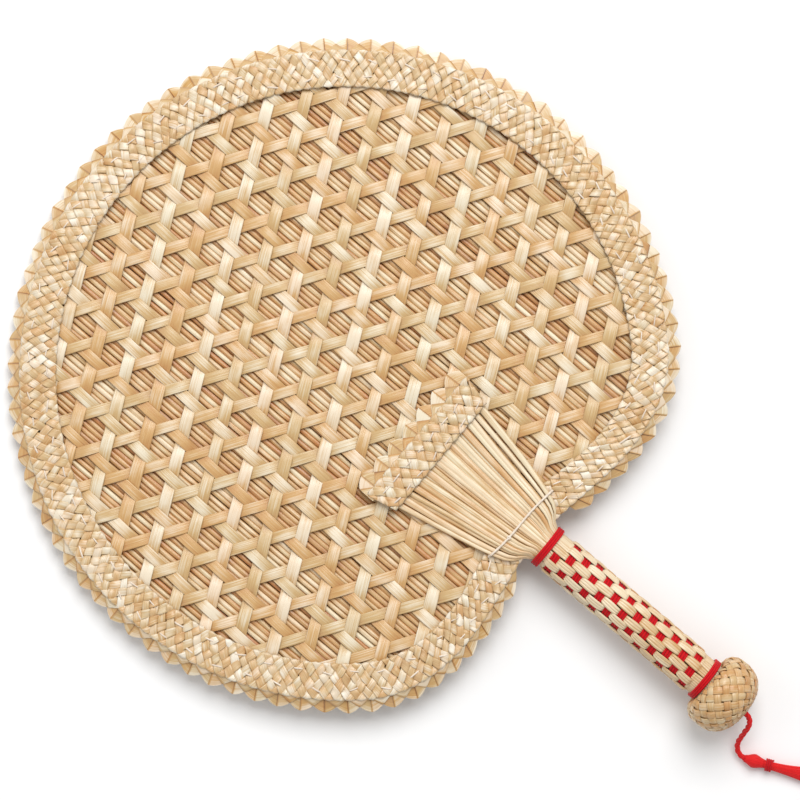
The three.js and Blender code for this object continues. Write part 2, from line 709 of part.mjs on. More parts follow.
// The tassel lies on the same surface, at the end of its cord
const pole = new THREE.Vector3(0, poleY, 0).applyMatrix4(fan.matrixWorld);
const lyingHeight = HEAD_RADIUS + GAP;
const heading = new THREE.Vector3(Math.cos(TASSEL_HEADING), Math.sin(TASSEL_HEADING), 0);
const sideways = new THREE.Vector3(-heading.y, heading.x, 0);
const cordRoute = CORD_ROUTE.map(
  ([x, y, share]) => new THREE.Vector3(x, y, THREE.MathUtils.lerp(lyingHeight, pole.z, share)),
);
const headStart = cordRoute.at(-1).clone().addScaledVector(heading, -CORD_LAP);
const headEnd = headStart.clone().addScaledVector(heading, HEAD_LENGTH);
cordRoute.push(headEnd.clone().addScaledVector(heading, -HEAD_WALL - GAP));
add(tassel, 'tassel_cord', tube(cordRoute, CORD_DIAMETER / 2, CORD_SIDES, CORD_STEPS), RED_YARN);

// Places a body that was turned about the Y axis along the tassel's heading
function alongHeading(geometry, start) {
  const turn = new THREE.Matrix4().makeBasis(sideways, heading, new THREE.Vector3(0, 0, -1));
  return outward(geometry.applyMatrix4(turn.setPosition(start)));
}

function tasselHead() {
  const profile = [
    [0, HEAD_LENGTH],
    [NECK_RADIUS, HEAD_LENGTH],
    [HEAD_RADIUS, HEAD_LENGTH - HEAD_TAPER],
    [HEAD_RADIUS, HEAD_SHOULDER],
    [cordEye + HEAD_WALL, 0],
    [cordEye, 0],
    [cordEye, HEAD_LENGTH - HEAD_WALL],
    [0, HEAD_LENGTH - HEAD_WALL],
  ];
  return turned(profile.map(([radius, along]) => new THREE.Vector2(radius, along)));
}

// The skirt: a round neck that spreads into a flat brush of threads on the surface
function tasselSkirt() {
  const full = NECK_LENGTH + SKIRT_SPREAD_RUN;
  const stations = [0, NECK_LENGTH, (NECK_LENGTH + full) / 2, full, (full + SKIRT_LENGTH) / 2, SKIRT_LENGTH];
  const rings = stations.map((along) => {
    const spread = THREE.MathUtils.clamp((along - NECK_LENGTH) / SKIRT_SPREAD_RUN, 0, 1);
    const halfWidth = THREE.MathUtils.lerp(NECK_RADIUS, SKIRT_HALF_WIDTH, spread);
    const halfHeight = THREE.MathUtils.lerp(NECK_RADIUS, SKIRT_HALF_HEIGHT, spread);
    const level = THREE.MathUtils.lerp(lyingHeight, SKIRT_HALF_HEIGHT + GAP, spread);
    const bend = SKIRT_BEND * (along / SKIRT_LENGTH) ** 2;
    const centre = headEnd.clone().addScaledVector(heading, along + GAP).addScaledVector(sideways, bend);
    return Array.from({ length: SKIRT_SIDES }, (_, j) => {
      const turn = (2 * Math.PI * (j + 0.5)) / SKIRT_SIDES;
      const point = centre.clone().addScaledVector(sideways, halfWidth * Math.cos(turn));
      return point.setZ(level + halfHeight * Math.sin(turn));
    });
  });
  return loft(rings);
}

const neckRadius = NECK_RADIUS + GAP + NECK_THREAD / 2;
const neckBinding = winding('tassel neck', neckRadius, NECK_THREAD, NECK_PITCH, NECK_TURNS, NECK_LENGTH / 2);
add(tassel, 'tassel_head', alongHeading(tasselHead(), headStart), RED_YARN);
add(tassel, 'tassel_neck_binding', alongHeading(neckBinding, headEnd), RED_YARN);
add(tassel, 'tassel_skirt', tasselSkirt(), RED_YARN);
tassel.position.set(pole.x, pole.y, 0);

const part = new THREE.Group();
part.add(fan, tassel);

export default part;
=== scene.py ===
"""The looks of a woven straw hand fan with a red tassel, lying face up on a pale floor.

Shapes are worked out in millimetres. The fan has the middle of its blade at the origin, its handle
along -Y and its face up, and the tassel has the pommel's end over the origin. Names that end in RANGE
or RANGES hold the least and the most that chance draws, and names in SHADE a tint's mean and deviation.
"""

import bisect
import json
import random
from math import atan2, copysign, cos, exp, pi, radians, sin, sqrt, tanh, tau

import bmesh
import bpy
from mathutils import Matrix, Vector
from mathutils.geometry import interpolate_bezier


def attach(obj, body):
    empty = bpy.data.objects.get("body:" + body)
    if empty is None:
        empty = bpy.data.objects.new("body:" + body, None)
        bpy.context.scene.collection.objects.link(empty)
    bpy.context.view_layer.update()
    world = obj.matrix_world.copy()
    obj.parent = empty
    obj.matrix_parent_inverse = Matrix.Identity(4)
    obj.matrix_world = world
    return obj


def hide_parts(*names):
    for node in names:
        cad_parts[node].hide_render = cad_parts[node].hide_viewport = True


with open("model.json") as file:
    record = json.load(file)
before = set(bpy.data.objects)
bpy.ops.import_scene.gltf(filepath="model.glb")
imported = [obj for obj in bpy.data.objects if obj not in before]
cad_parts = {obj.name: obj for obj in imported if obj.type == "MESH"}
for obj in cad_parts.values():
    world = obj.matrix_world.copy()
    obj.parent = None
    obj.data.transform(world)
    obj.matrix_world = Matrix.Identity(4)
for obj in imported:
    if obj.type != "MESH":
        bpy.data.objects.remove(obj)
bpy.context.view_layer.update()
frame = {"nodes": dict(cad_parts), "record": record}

MILLIMETRE = 0.001
UP = Vector((0, 0, 1))

# Blade outline, and the border's insets from the tips of its points
BLADE_RADIUS = 156
NOTCH_DEPTH = 33
NOTCH_HALF_ANGLE = radians(46)
BRAID_INSET = 6
BRAID_WIDTH = 17
RIM_INSET = 15.3
REACH_HALVINGS = 30

# Levels above the blade's middle plane, and thicknesses
STRAW_HALF_HEIGHT = 0.76
LATTICE_LEVEL = 1.95
BRAID_LEVEL = 3.6
BRAID_TOP = 4.3
LEAF_THICKNESS = 0.3
POINT_THICKNESS = 0.4
STAKE_THICKNESS = 0.7
POMMEL_THICKNESS = 0.35

# Backing straws: ranges of their widths and heights as shares, and of the phase of their bow
STRAW_PITCH = 2.4
STRAW_RANGES = [(0.95, 1.1), (0.8, 1), (0, 6)]
STRAW_BOW = (0.15, 9)
STRAW_SHADE = (0.73, 0.2)
# Painted shade towards each backing straw's sides, by a depth and a power
STRAW_GAP_SHADE = (0.42, 3)
# Painted shade on the backing straws: darker where a lattice strip lies over them
UNDER_STRIP_PAINTED_SHADE = 0.36

# Lattice strips: the direction across each set, its pitch, and its first strip in pitches
UPRIGHT_SET = (radians(-2.4), 16.2, 0.487)
FALLING_SET = (radians(-123.7), 15.8, 0.02)

# Widths of the sets as shares, tints of every other strip, and ranges of a strip's width, phase and tint
SET_WIDTHS = {"upright": 0.99, "falling": 0.93, "rising": 1.1}
SET_TINTS = {"upright": (0.62, 0.42), "falling": (0.48, 0.42), "rising": (0.42, 0.72)}
STRIP_WIDTH = 5.3
STRIP_RANGES = [(0.94, 1.04), (0, 6), (-0.08, 0.08)]
STRIP_STEP = 1.8
STRIP_LIFT = 0.58
STRIP_CROWN = 0.1
STRIP_SWAY = (0.25, 7)
STRIP_EDGE = (0.1, 0.3)
# Painted light and shade on a strip: lighter where it rides over another strip, darker where it dives under
# one
STRIP_LIFT_PAINTED_SHADING = 0.18
STRIP_STREAK = (0.09, 0.2)

# Plaits: strands each way round the border and along a short braid, and the rows across
BORDER_STRANDS = 182
BORDER_ROWS = 5
SHORT_STRANDS = 16
SHORT_ROWS = 4
PLAIT_LIFT = 0.5
PLAIT_FLATNESS = 1.6
PLAIT_CROWDING = 0.45
FOLD_RUN = 0.9
FOLD_PEAK = 0.5
FOLD_HOLLOW = 0.25
FOLD_TINT = 0.2

# Strands of a plait: ranges of their width, tilt, crown and phase, and grain as shares of widths
STRAND_SLIP_RANGE = (-0.5, 0.5)
STRAND_RANGES = [(0.84, 1.06), (0.2, 0.5), (0.1, 0.28), (0, tau)]
STRAND_GRAIN = (1.25, 0.8)
STRAND_TILT_TURN = 11
STRAND_SWAY = (0.3, 9)
STRAND_SHADE = (0.5, 0.17)
STRAND_DARKEST = 0.15
STRAND_PALEST = 1.1
# Painted light where a strand lies on top, painted shade where it lies below and towards its edges
STRAND_TOP_PAINTED_SHADING = 0.18
STRAND_EDGE_PAINTED_SHADE = 0.1
STRAND_FLECK = (0.11, 13)

# Stitches: shares and rises of one, rows with their gaps, and ranges of the radius and tint, the run and slip
STITCH_ARCH = [(0, -0.9), (0.2, 0.1), (0.5, 0.3), (0.8, 0.1), (1, -0.9)]
STITCH_RADIUS = 0.4
STITCH_RANGES = [(0.8, 1.15), (0.3, 1)]
BORDER_STITCH_ROWS = (4.4, 12.6)
BORDER_STITCH_SINK = 0.2
BORDER_GAP_RANGE = (9, 18)
BORDER_STITCH_RANGES = [(4.2, 6.4), (-0.9, 1.3), (-0.8, 0.8)]
SHORT_STITCH_ROWS = [(2.6, 9.5), (9.6, 8.2)]
SHORT_STITCH_RISE = 0.6
SHORT_STITCH_FROM = 5
SHORT_STITCH_STOP = 8
SHORT_GAP_RANGE = (0.8, 1.2)
SHORT_STITCH_RANGES = [(4, 6), (-0.4, 0.9)]

# Folded points: shares of the pitch, insets from the tip, and levels of the facet below and the one above
POINT_COUNT = 88
HANDLE_CLEARANCE = 16.8
POINT_RANGES = [(0.44, 0.54), (-0.3, 0.3), (-0.2, 0.3)]
POINT_ROOT_SHIFT = 0.03
POINT_LAP = 0.02
POINT_SWELL = 0.5
BASE_INSET = 8
BASE_LEVEL = 2.8
VALLEY_INSET = 3
BELOW = {"root": 2.2, "valley": 0.6, "tip": 0}
ABOVE = {"root": 2.7, "valley": 0.8, "tip": 0.3}
FACET_STEPS = 8
FACET_GRAIN = (7, 5)
TAN_SHADE = (0.42, 0.14)
LIGHT_SHADE = (0.62, 0.14)
CREAM_SHADE = (0.66, 0.16)
RIM_SHARPNESS = 3
RIM_TINT = 0.36
# Painted shade: dark lines along the crease on both facets, and along the valley edge where the next fold
# overlaps
CREASE_PAINTED_SHADE = 1.05
PAST_CREASE_PAINTED_SHADE = 0.5
VALLEY_PAINTED_SHADE = 0.6

# The pale turn between two points: its outer edge in shares of the pitch and insets
TURN_OUTLINE = [(0.48, 6.6), (0.66, 5.3), (0.84, 3.9), (0.97, 2.9), (1.08, 3.5), (1.22, 4.8), (1.42, 6.6)]
TURN_STEPS = len(TURN_OUTLINE) - 1
TURN_BASE_INSET = 9.5
TURN_LEVELS = (1.3, 3.2)
TURN_RISE_FROM = 2.8
TURN_RISE_RUN = 3.8
TURN_CROWN = 0.3
TURN_GRAIN = (10, 5)
TURN_SHADOW_TINT = 0.85
TURN_SHADOW_SHARE = 0.55

# Handle
GRIP_LENGTH = 94
NECK_Y = NOTCH_DEPTH - BLADE_RADIUS
LOWER_Y = NECK_Y - GRIP_LENGTH
STAKE_COUNT = 15
STAKE_STRAWS = 3
STAKE_TOP = -121.5
STAKE_FOOT = -220.5
STAKE_RANGES = [(0.93, 1.03), (0, tau)]
STAKE_PINCH = 0.06
STAKE_SWING = 1.15
STAKE_FLATNESS = 4.5
STAKE_SWAY = (0.03, 0.16)
STAKE_RIDGE = 0.17
STAKE_GRAIN_WIDTH = 4
STAKE_SHADE = (0.96, 0.08)
# Painted shade in the grooves between the straws of a stake
STAKE_GROOVE_PAINTED_SHADE = 0.26
FLOAT_BIAS = 0.56
FLOAT_BULGE = 0.25
WEAVE_EASE = 1.5
BAND_TOP = -128.3
BAND_PITCH = 6.7
BAND_CROSSINGS = 184
BAND_RADIUS = 8.5
BAND_YARN = 1.45
BOUND_RADIUS = 8.75
BINDING_RADIUS = 10
BINDING_TURNS = 3
BINDING_TINT = 0.6
WOUND_PLY = (0.07, 2.6)
WOUND_STEPS = 72

# The band's yarns by place along the handle and tint, and the bindings by place, thickness and pitch
BAND_YARNS = [(-1.35, 0.45), (0, 0.7), (1.35, 0.5)]
BINDINGS = {"upper": (NECK_Y, 1.3, 1.15), "lower": (LOWER_Y, 1.25, 1.05)}

# Sprays: lengths up from the neck, half widths, and levels over the border and over the lattice
SPRAY_FOOT = -1.5
SPRAY_LENGTH = 64
SPRAY_END = 75.9
SPRAY_HALF_WIDTH = 10.2
SPRAY_FLARE = 0.225
SHOULDER_HALF_WIDTH = 6.4
SHOULDER_RUN = 7
DOME_HEIGHT = 3.8
DOME_RUN = 9
OVER_BORDER = 4.6
OVER_LATTICE = 2.9
STEP_OFF = (23, 6)
SPREAD = (1, 9)
SPRAY_SWING = radians(76)

# Straws of a spray: count, rise and tint by layer, the upper layer in painted light and the lower one in
# painted shade, and ranges of the place at both ends, bow, width and lift
SPRAY_LAYERS = [(19, 1.25, 0.1), (20, 0.6, -0.12)]
SPRAY_FILL = 0.97
SPRAY_RANGES = [(-0.03, 0.03), (-0.035, 0.035), (-0.8, 0.8), (0.74, 1.3), (-0.15, 0.3)]
SPRAY_NECK_RADIUS = 0.75
SPRAY_HALF_HEIGHT = 0.62
SPRAY_GRAIN_WIDTH = 2.4
SPRAY_SHADE = (0.82, 0.17)
# Painted light: straws lighter towards the spray's +x side, which faces the main light
SPRAY_SIDE_PAINTED_LIGHT = 0.16
# Painted shade towards each spray straw's sides, by a depth and a power
SPRAY_GAP_SHADE = (0.26, 5)

# Short braids and their points
SHORT_BRAID_WIDTH = 15.2
SHORT_BRAID_LEVEL = 5.9
SHORT_OVERHANG = 1.2
SHORT_MARGIN = 8
SHORT_POINT_COUNT = 7
SHORT_POINT_HEIGHT = 7.4
SHORT_POINT_LEVEL = 3.2
SHORT_POINT_SQUASH = 0.8

# Ties
TIE_FROM_NECK = 16.5
TIE_SHARES = (-0.94, -0.6, -0.3, 0, 0.3, 0.6, 0.94)
TIE_RISE = 2.55
TIE_SLANT = 1.2
TIE_WAVE = (0.5, 3)
TIE_TUCK = 1.4
TIE_TUCK_RISE = 0.5
TIE_EDGE_SHARE = 1.03
TIE_EDGE_SHIFTS = (1.3, -1.2)
TIE_EDGE_RISE = 1.4
TIE_RADIUS = 0.54
TIE_PLY = (0.12, 2.4)
KNOT_SHARE = -0.42
KNOT_ANGLES = (0, 1.6, 3.2, 4.8, 6.4, 8)
KNOT_RADIUS = 0.6
KNOT_CLIMB = 0.12
KNOT_SINK = 0.2
KNOT_THREAD = 0.5

# Pommel: radius and place along the handle, from under the binding to the cord
POMMEL_PROFILE = [
    (9.6, 5.4),
    (10.7, 7.2),
    (12.9, 8.0),
    (15.3, 7.2),
    (17.2, 4.6),
    (17.8, 0.8),
    (17.3, -4.2),
    (15.2, -8.4),
    (11.4, -11.4),
    (6.6, -12.9),
    (1.9, -13.3),
]
POMMEL_Y = -227.25
POMMEL_STRANDS = 20
POMMEL_LIFT = 0.45
POMMEL_SHRINK = 0.022
POMMEL_RANGES = [(0.76, 0.93), (-0.1, 0.1), (0.12, 0.3)]
POMMEL_SHADE = (0.5, 0.15)
POMMEL_GRAIN = (1.4, 4)
TWIST_RADIUS = 8
GATHER = (12, 14)
GATHERED_WIDTH = 0.4
GATHERED_SHARE = 0.44

# Tassel
HINGE_BEYOND_POLE = 1.4
LYING_HEIGHT = 3.4
TASSEL_HEADING = radians(-66)
TASSEL_TINT = 0.5
CORD_DIAMETER = 2.8
CORD_LAP = 1
CORD_END_IN_HEAD = 8
CORD_PLIES = 3
CORD_PLY_SHARE = 0.24
CORD_PLY_TURN = 0.13
HEAD_LENGTH = 9
HEAD_TOP_RADIUS = 1.7
HEAD_RADIUS = 3.2
HEAD_RIBS = 13
HEAD_RIB = 0.035
HEAD_TWIST = 2
HEAD_GRAIN_WIDTH = 5
NECK_RADIUS = 2.1
NECK_LENGTH = 5.4
NECK_TURNS = 3
NECK_STEPS = 24
NECK_OUT = 0.45
NECK_RUN = 3
NECK_YARN_RADIUS = 0.5
SKIRT_LENGTH = 60
SKIRT_LENGTH_RANGE = (0.86, 0.95)
SKIRT_BEND = 5
SKIRT_DRIFT_RANGE = (-0.5, 0.5)
SKIRT_DRIFT_TURN = 6
SKIRT_SPREAD_RUN = 25
SKIRT_INSET = 0.4
SKIRT_HALF_WIDTH = 4.5
SKIRT_HALF_HEIGHT = 2.2
SKIRT_HEIGHT = 2.9
SKIRT_LOWEST = 0.4
SKIRT_SHARES = (0, 0.09, 0.25, 0.5, 0.75, 1)
SKIRT_THREADS = 190
SKIRT_THREAD_RADIUS = 0.36
SKIRT_TINT_RANGE = (0.2, 0.9)

# The cord's route from the pommel's end: millimetres across and along, and the share of the height left
CORD_ROUTE = [
    (0, -0.3, 1),
    (0, -1.2, 1),
    (-0.2, -2.4, 0.98),
    (-0.8, -3.7, 0.95),
    (-1.8, -4.9, 0.9),
    (-3.2, -5.8, 0.83),
    (-4.8, -6.4, 0.72),
    (-6.8, -6.9, 0.57),
    (-8.8, -7.4, 0.42),
    (-10.7, -7.9, 0.28),
    (-12.5, -8.6, 0.16),
    (-14.1, -9.7, 0.07),
    (-15.4, -11.2, 0.02),
    (-16.2, -13.1, 0),
    (-16.3, -15.1, 0),
    (-15.8, -17, 0),
]

# Materials: noise scales along and across a strand, and what each noise does
STRAND_STRIDE = 3.7
FIBRE_SCALES = (0.035, 2.2)
FIBRE_CONTRAST = 1.1
FIBRE_ROUGHNESS = 0.3
CLOUD_SCALES = (0.08, 0.2)
CLOUD_SHIFT = 0.5
HUE_PACES = (2.4, 3.9)
HUE_SWING = 0.16
HUE_SHARE = 0.14
PLANT_ROUGHNESS = 0.18
CANE_ACROSS = 900
CANE_ALONG = 30
YARN_SLANT = (0.9, 1.6)
YARN_SCALES = (1.8, 0.6)
YARN_FIBRE_SHARE = 1.2
YARN_TINT_SHARE = 0.5
YARN_DARKENING = 0.35
BUMP_DEPTH = 0.0003

# Camera: straight above, turned so that the handle points to the lower right
VIEW_RIGHT = Vector((0.6449, -0.7643, 0))
VIEW_UP = Vector((0.7643, 0.6449, 0))
VIEW_ACROSS = 369.6
VIEW_SHIFT = (25.87, -11.69)
LENS = 135
SENSOR = 36

# Setting
FILL_STRENGTH = 0.52
FLOOR_GREY = 0.9


# Frames of the two bodies

record = frame["record"]
rest_face = record["mounts"][0]
REST_POINT = Vector((4, 141.5, -4.3))
rest_lean = atan2(rest_face["axis"][1], -rest_face["axis"][2])
FAN = (
    Matrix.Translation(rest_face["pos_m"])
    @ Matrix.Rotation(rest_lean, 4, "X")
    @ Matrix.Scale(MILLIMETRE, 4)
    @ Matrix.Translation(-REST_POINT)
)
hinge = Vector(record["behaviour"]["joints"][0]["pos_m"])
pole_height = hinge.z / MILLIMETRE
pole_y = hinge.y + HINGE_BEYOND_POLE * MILLIMETRE
TASSEL = Matrix.Translation((hinge.x, pole_y, 0)) @ Matrix.Scale(MILLIMETRE, 4)


# Numbers and lines

def clamp(value, low=0.0, high=1.0):
    return min(high, max(low, value))


def mix(start, end, share):
    return start + (end - start) * share


def ease(value, start=0, run=1):
    """Rises smoothly from 0 to 1 over a run from a start."""
    share = clamp((value - start) / run)
    return share * share * (3 - 2 * share)


def near_end(share, sharpness):
    """1 at the end of a length, falling to 0 away from it."""
    return clamp(1 - sharpness * (1 - share))


def draw(chance, ranges):
    return [chance.uniform(*span) for span in ranges]


def sway(wave, phase, along):
    """A wave of a size that turns by radians along a length, from a phase."""
    size, turn = wave
    return size * sin(phase + turn * along)


def painted_gap_shade(gap, turn):
    """Painted shade: how much darker a rod is towards its sides, where it meets its neighbours, by a depth
    and a power.
    """
    depth, power = gap
    return depth * abs(cos(turn)) ** power


def two_ply(ply, along, turn):
    """The swell of yarn with two plies, by a size and the radians that they turn in a millimetre."""
    size, pace = ply
    return 1 + size * cos(2 * turn - pace * along)


def flat_wave(wave, gain):
    """Widens the crests and troughs of a wave between -1 and 1."""
    return tanh(gain * wave) / tanh(gain)


def smooth_line(points, steps):
    """Runs a smooth line through points, with a number of steps from each to the next."""
    line = []
    for i in range(len(points) - 1):
        before = points[max(i - 1, 0)]
        after = points[min(i + 2, len(points) - 1)]
        leave = points[i] + (points[i + 1] - before) / 6
        arrive = points[i + 1] - (after - points[i]) / 6
        line += interpolate_bezier(points[i], leave, arrive, points[i + 1], steps + 1)[:-1]
    return line + [points[-1]]


def line_length(line):
    return sum((b - a).length for a, b in zip(line, line[1:]))


# Meshes

def add(name, data):
    made = bpy.data.objects.new(name, data)
    bpy.context.scene.collection.objects.link(made)
    return made


BODIES = {"fan": FAN, "tassel": TASSEL}
EDGE_CROWDING = 0.22
EVEN = 1


class Weave:
    """A mesh of strips and rods in the making."""

    def __init__(self):
        self.mesh = bmesh.new()
        self.grain = self.mesh.verts.layers.float_vector.new("grain")
        self.strand = self.mesh.verts.layers.float.new("strand")
        self.strands = 0

    def settle(self, vert, u, v, size, tint, lay):
        """Gives a vertex its grain and its place. tint is a number, or a function of both shares."""
        shade = tint(u, v) if callable(tint) else tint
        vert[self.grain] = (u * size[0], v * size[1] / 2, shade)
        vert[self.strand] = self.strands
        vert.co = lay(u, v)

    def strip(self, size, tint, lay, steps, columns, crowding=EDGE_CROWDING):
        """Adds a flat strip. lay(u, v) places share u of its length and share v of its half width.

        A crowding below 1 draws the columns towards the strip's edges.
        """
        made = bmesh.ops.create_grid(self.mesh, x_segments=steps, y_segments=columns, size=1)
        for vert in made["verts"]:
            u = (vert.co.x + 1) / 2
            v = copysign(abs(vert.co.y) ** crowding, vert.co.y)
            self.settle(vert, u, v, size, tint, lay)
        self.strands += 1

    def rod(self, size, tint, lay, steps, sides):
        """Adds a closed rod. lay(u, turn) places share u of its length at a turn round it."""
        known = len(self.mesh.verts)
        made = bmesh.ops.create_cone(self.mesh, cap_ends=True, segments=sides, radius1=1, radius2=1, depth=2)
        edges = dict.fromkeys(edge for vert in made["verts"] for edge in vert.link_edges)
        lengthwise = [edge for edge in edges if abs(edge.verts[0].co.z - edge.verts[1].co.z) > 1]
        bmesh.ops.subdivide_edges(self.mesh, edges=lengthwise, cuts=steps - 1)
        self.mesh.verts.ensure_lookup_table()
        for vert in self.mesh.verts[known:]:
            u = (vert.co.z + 1) / 2
            turn = atan2(vert.co.y, vert.co.x)
            self.settle(vert, u, turn, size, tint, lay)
        self.strands += 1

    def thread(self, line, radius, tint, sides):
        """Adds a thread along a line. radius is a number, or a function of the length and the turn."""
        runs = [b - a for a, b in zip(line, line[1:])]
        runs = [runs[0]] + [(a + b) / 2 for a, b in zip(runs, runs[1:])] + [runs[-1]]
        side = runs[0].orthogonal().normalized()
        frames = []
        for run in runs:
            ahead = run.normalized()
            side = (side - side.dot(ahead) * ahead).normalized()
            frames.append((side, ahead.cross(side)))
        last = len(line) - 1
        length = line_length(line)

        def lay(u, turn):
            i = round(u * last)
            out = radius(u * length, turn) if callable(radius) else radius
            across, over = frames[i]
            return line[i] + out * (cos(turn) * across + sin(turn) * over)

        girth = radius(0, 0) if callable(radius) else radius
        self.rod((length, girth), tint, lay, last, sides)

    def piece(self, name, finish, nodes=(), thickness=0, face=1, body="fan", smooth=True):
        """Turns the mesh into a named piece that stands in for CAD nodes. face -1 puts it on the back."""
        if thickness == 0:
            bmesh.ops.recalc_face_normals(self.mesh, faces=self.mesh.faces)
        place = BODIES[body]
        if face < 0:
            place = place @ Matrix.Scale(-1, 4, UP)
            bmesh.ops.reverse_faces(self.mesh, faces=self.mesh.faces)
        bmesh.ops.transform(self.mesh, matrix=place, verts=self.mesh.verts)
        mesh = bpy.data.meshes.new(name)
        self.mesh.to_mesh(mesh)
        self.mesh.free()
        if smooth:
            mesh.shade_smooth()
        mesh.materials.append(finish.material)
        made = add(name, mesh)
        if thickness:
            shell = made.modifiers.new("thickness", "SOLIDIFY")
            shell.thickness = thickness * MILLIMETRE
            shell.offset = 0
        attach(made, body)
        if nodes:
            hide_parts(*nodes)
        return made


# Materials

def srgb(red, green, blue):
    """A colour from the 0 to 255 values that a screen shows."""
    def linear(value):
        share = value / 255
        return share / 12.92 if share <= 0.04045 else ((share + 0.055) / 1.055) ** 2.4
    return (linear(red), linear(green), linear(blue), 1)


class Value:
    """A number, vector or colour on its way through a material's nodes."""

    def __init__(self, finish, socket):
        self.finish = finish
        self.socket = socket

    def maths(self, operation, first, second):
        return self.finish.node("ShaderNodeMath", {"operation": operation}, {0: first, 1: second})

    def __add__(self, other):
        return self.maths("ADD", self, other)

    def __radd__(self, other):
        return self.maths("ADD", other, self)

    def __sub__(self, other):
        return self.maths("SUBTRACT", self, other)

    def __rsub__(self, other):
        return self.maths("SUBTRACT", other, self)

    def __mul__(self, other):
        return self.maths("MULTIPLY", self, other)

    def __rmul__(self, other):
        return self.maths("MULTIPLY", other, self)

    def sine(self):
        return self.finish.node("ShaderNodeMath", {"operation": "SINE"}, {0: self})


class Finish:
    """A procedural material for one slot of the record."""

    def __init__(self, name, slot):
        self.slot = slot
        self.material = bpy.data.materials.new(name)
        self.material.use_nodes = True
        self.tree = self.material.node_tree
        self.shader = self.tree.nodes["Principled BSDF"]

    def feed(self, socket, value):
        if isinstance(value, Value):
            self.tree.links.new(value.socket, socket)
        else:
            socket.default_value = value

    def node(self, kind, settings, sockets, output=0):
        made = self.tree.nodes.new(kind)
        for name, value in settings.items():
            setattr(made, name, value)
        for key, value in sockets.items():
            self.feed(made.inputs[key], value)
        return Value(self, made.outputs[output])

    def surface(self, **values):
        for name, value in values.items():
            self.feed(self.shader.inputs[name.replace("_", " ")], value)

    def split(self, vector):
        return [self.node("ShaderNodeSeparateXYZ", {}, {0: vector}, axis) for axis in range(3)]

    def grain(self):
        """Millimetres along and across a strand, its tint and its number."""
        vector = self.node("ShaderNodeAttribute", {"attribute_name": "grain"}, {}, "Vector")
        number = self.node("ShaderNodeAttribute", {"attribute_name": "strand"}, {}, "Fac")
        return self.split(vector) + [number]

    def noise(self, x, y, z, detail):
        vector = self.node("ShaderNodeCombineXYZ", {}, {0: x, 1: y, 2: z})
        return self.node("ShaderNodeTexNoise", {}, {"Vector": vector, "Scale": 1, "Detail": detail})

    def blend(self, start, end, share):
        return self.node("ShaderNodeMix", {"data_type": "RGBA"}, {0: share, 6: start, 7: end}, 2)

    def relief(self, height, strength):
        sockets = {"Height": height, "Strength": strength, "Distance": BUMP_DEPTH}
        return self.node("ShaderNodeBump", {}, sockets)


def plant_finish(name, slot, shades, hues, relief):
    """Dried leaf or straw: shades for tints of -0.5, 0, 0.5 and 1, and each strand's own fibres and hue."""
    finish = Finish(name, slot)
    along, across, tint, strand = finish.grain()
    own = strand * STRAND_STRIDE
    fibre = finish.noise(along * FIBRE_SCALES[0], across * FIBRE_SCALES[1], own, detail=3)
    cloud = finish.noise(along * CLOUD_SCALES[0], across * CLOUD_SCALES[1], own + CLOUD_SHIFT, detail=2)
    shade = tint + (fibre - 0.5) * FIBRE_CONTRAST + (cloud - 0.5)
    colour = shades[0]
    for step, lighter in enumerate(shades[1:]):
        colour = finish.blend(colour, lighter, shade * 2 + (1 - step))
    for pace, hue in zip(HUE_PACES, hues):
        colour = finish.blend(colour, hue, (strand * pace).sine() * HUE_SWING + HUE_SHARE)
    finish.surface(
        Base_Color=colour,
        Roughness=fibre * FIBRE_ROUGHNESS + PLANT_ROUGHNESS,
        Normal=finish.relief(fibre, relief),
        Specular_IOR_Level=0.6,
    )
    return finish


def cane_finish():
    """Raw cane, streaked along the handle."""
    finish = Finish("raw_cane", "cane")
    x, y, z = finish.split(finish.node("ShaderNodeTexCoord", {}, {}, "Object"))
    streak = finish.noise(x * CANE_ACROSS, y * CANE_ALONG, z * CANE_ACROSS, detail=3)
    finish.surface(
        Base_Color=finish.blend(srgb(120, 76, 36), srgb(186, 136, 80), streak),
        Roughness=0.6,
        Normal=finish.relief(streak, strength=0.3),
    )
    return finish


def yarn_finish(name, slot, deep, bright, sheen):
    """Spun yarn: fine fibres slanting round it, and a soft sheen."""
    finish = Finish(name, slot)
    along, across, tint, strand = finish.grain()
    slanted = along * YARN_SLANT[0] + across * YARN_SLANT[1]
    own = strand * STRAND_STRIDE
    fibre = finish.noise(slanted * YARN_SCALES[0], across * YARN_SCALES[1], own, detail=3)
    brightness = fibre * YARN_FIBRE_SHARE + tint * YARN_TINT_SHARE - YARN_DARKENING
    finish.surface(
        Base_Color=finish.blend(deep, bright, brightness),
        Roughness=0.72,
        Normal=finish.relief(fibre, strength=0.5),
        Sheen_Weight=sheen,
        Sheen_Roughness=0.4,
        Specular_IOR_Level=0.25,
    )
    return finish


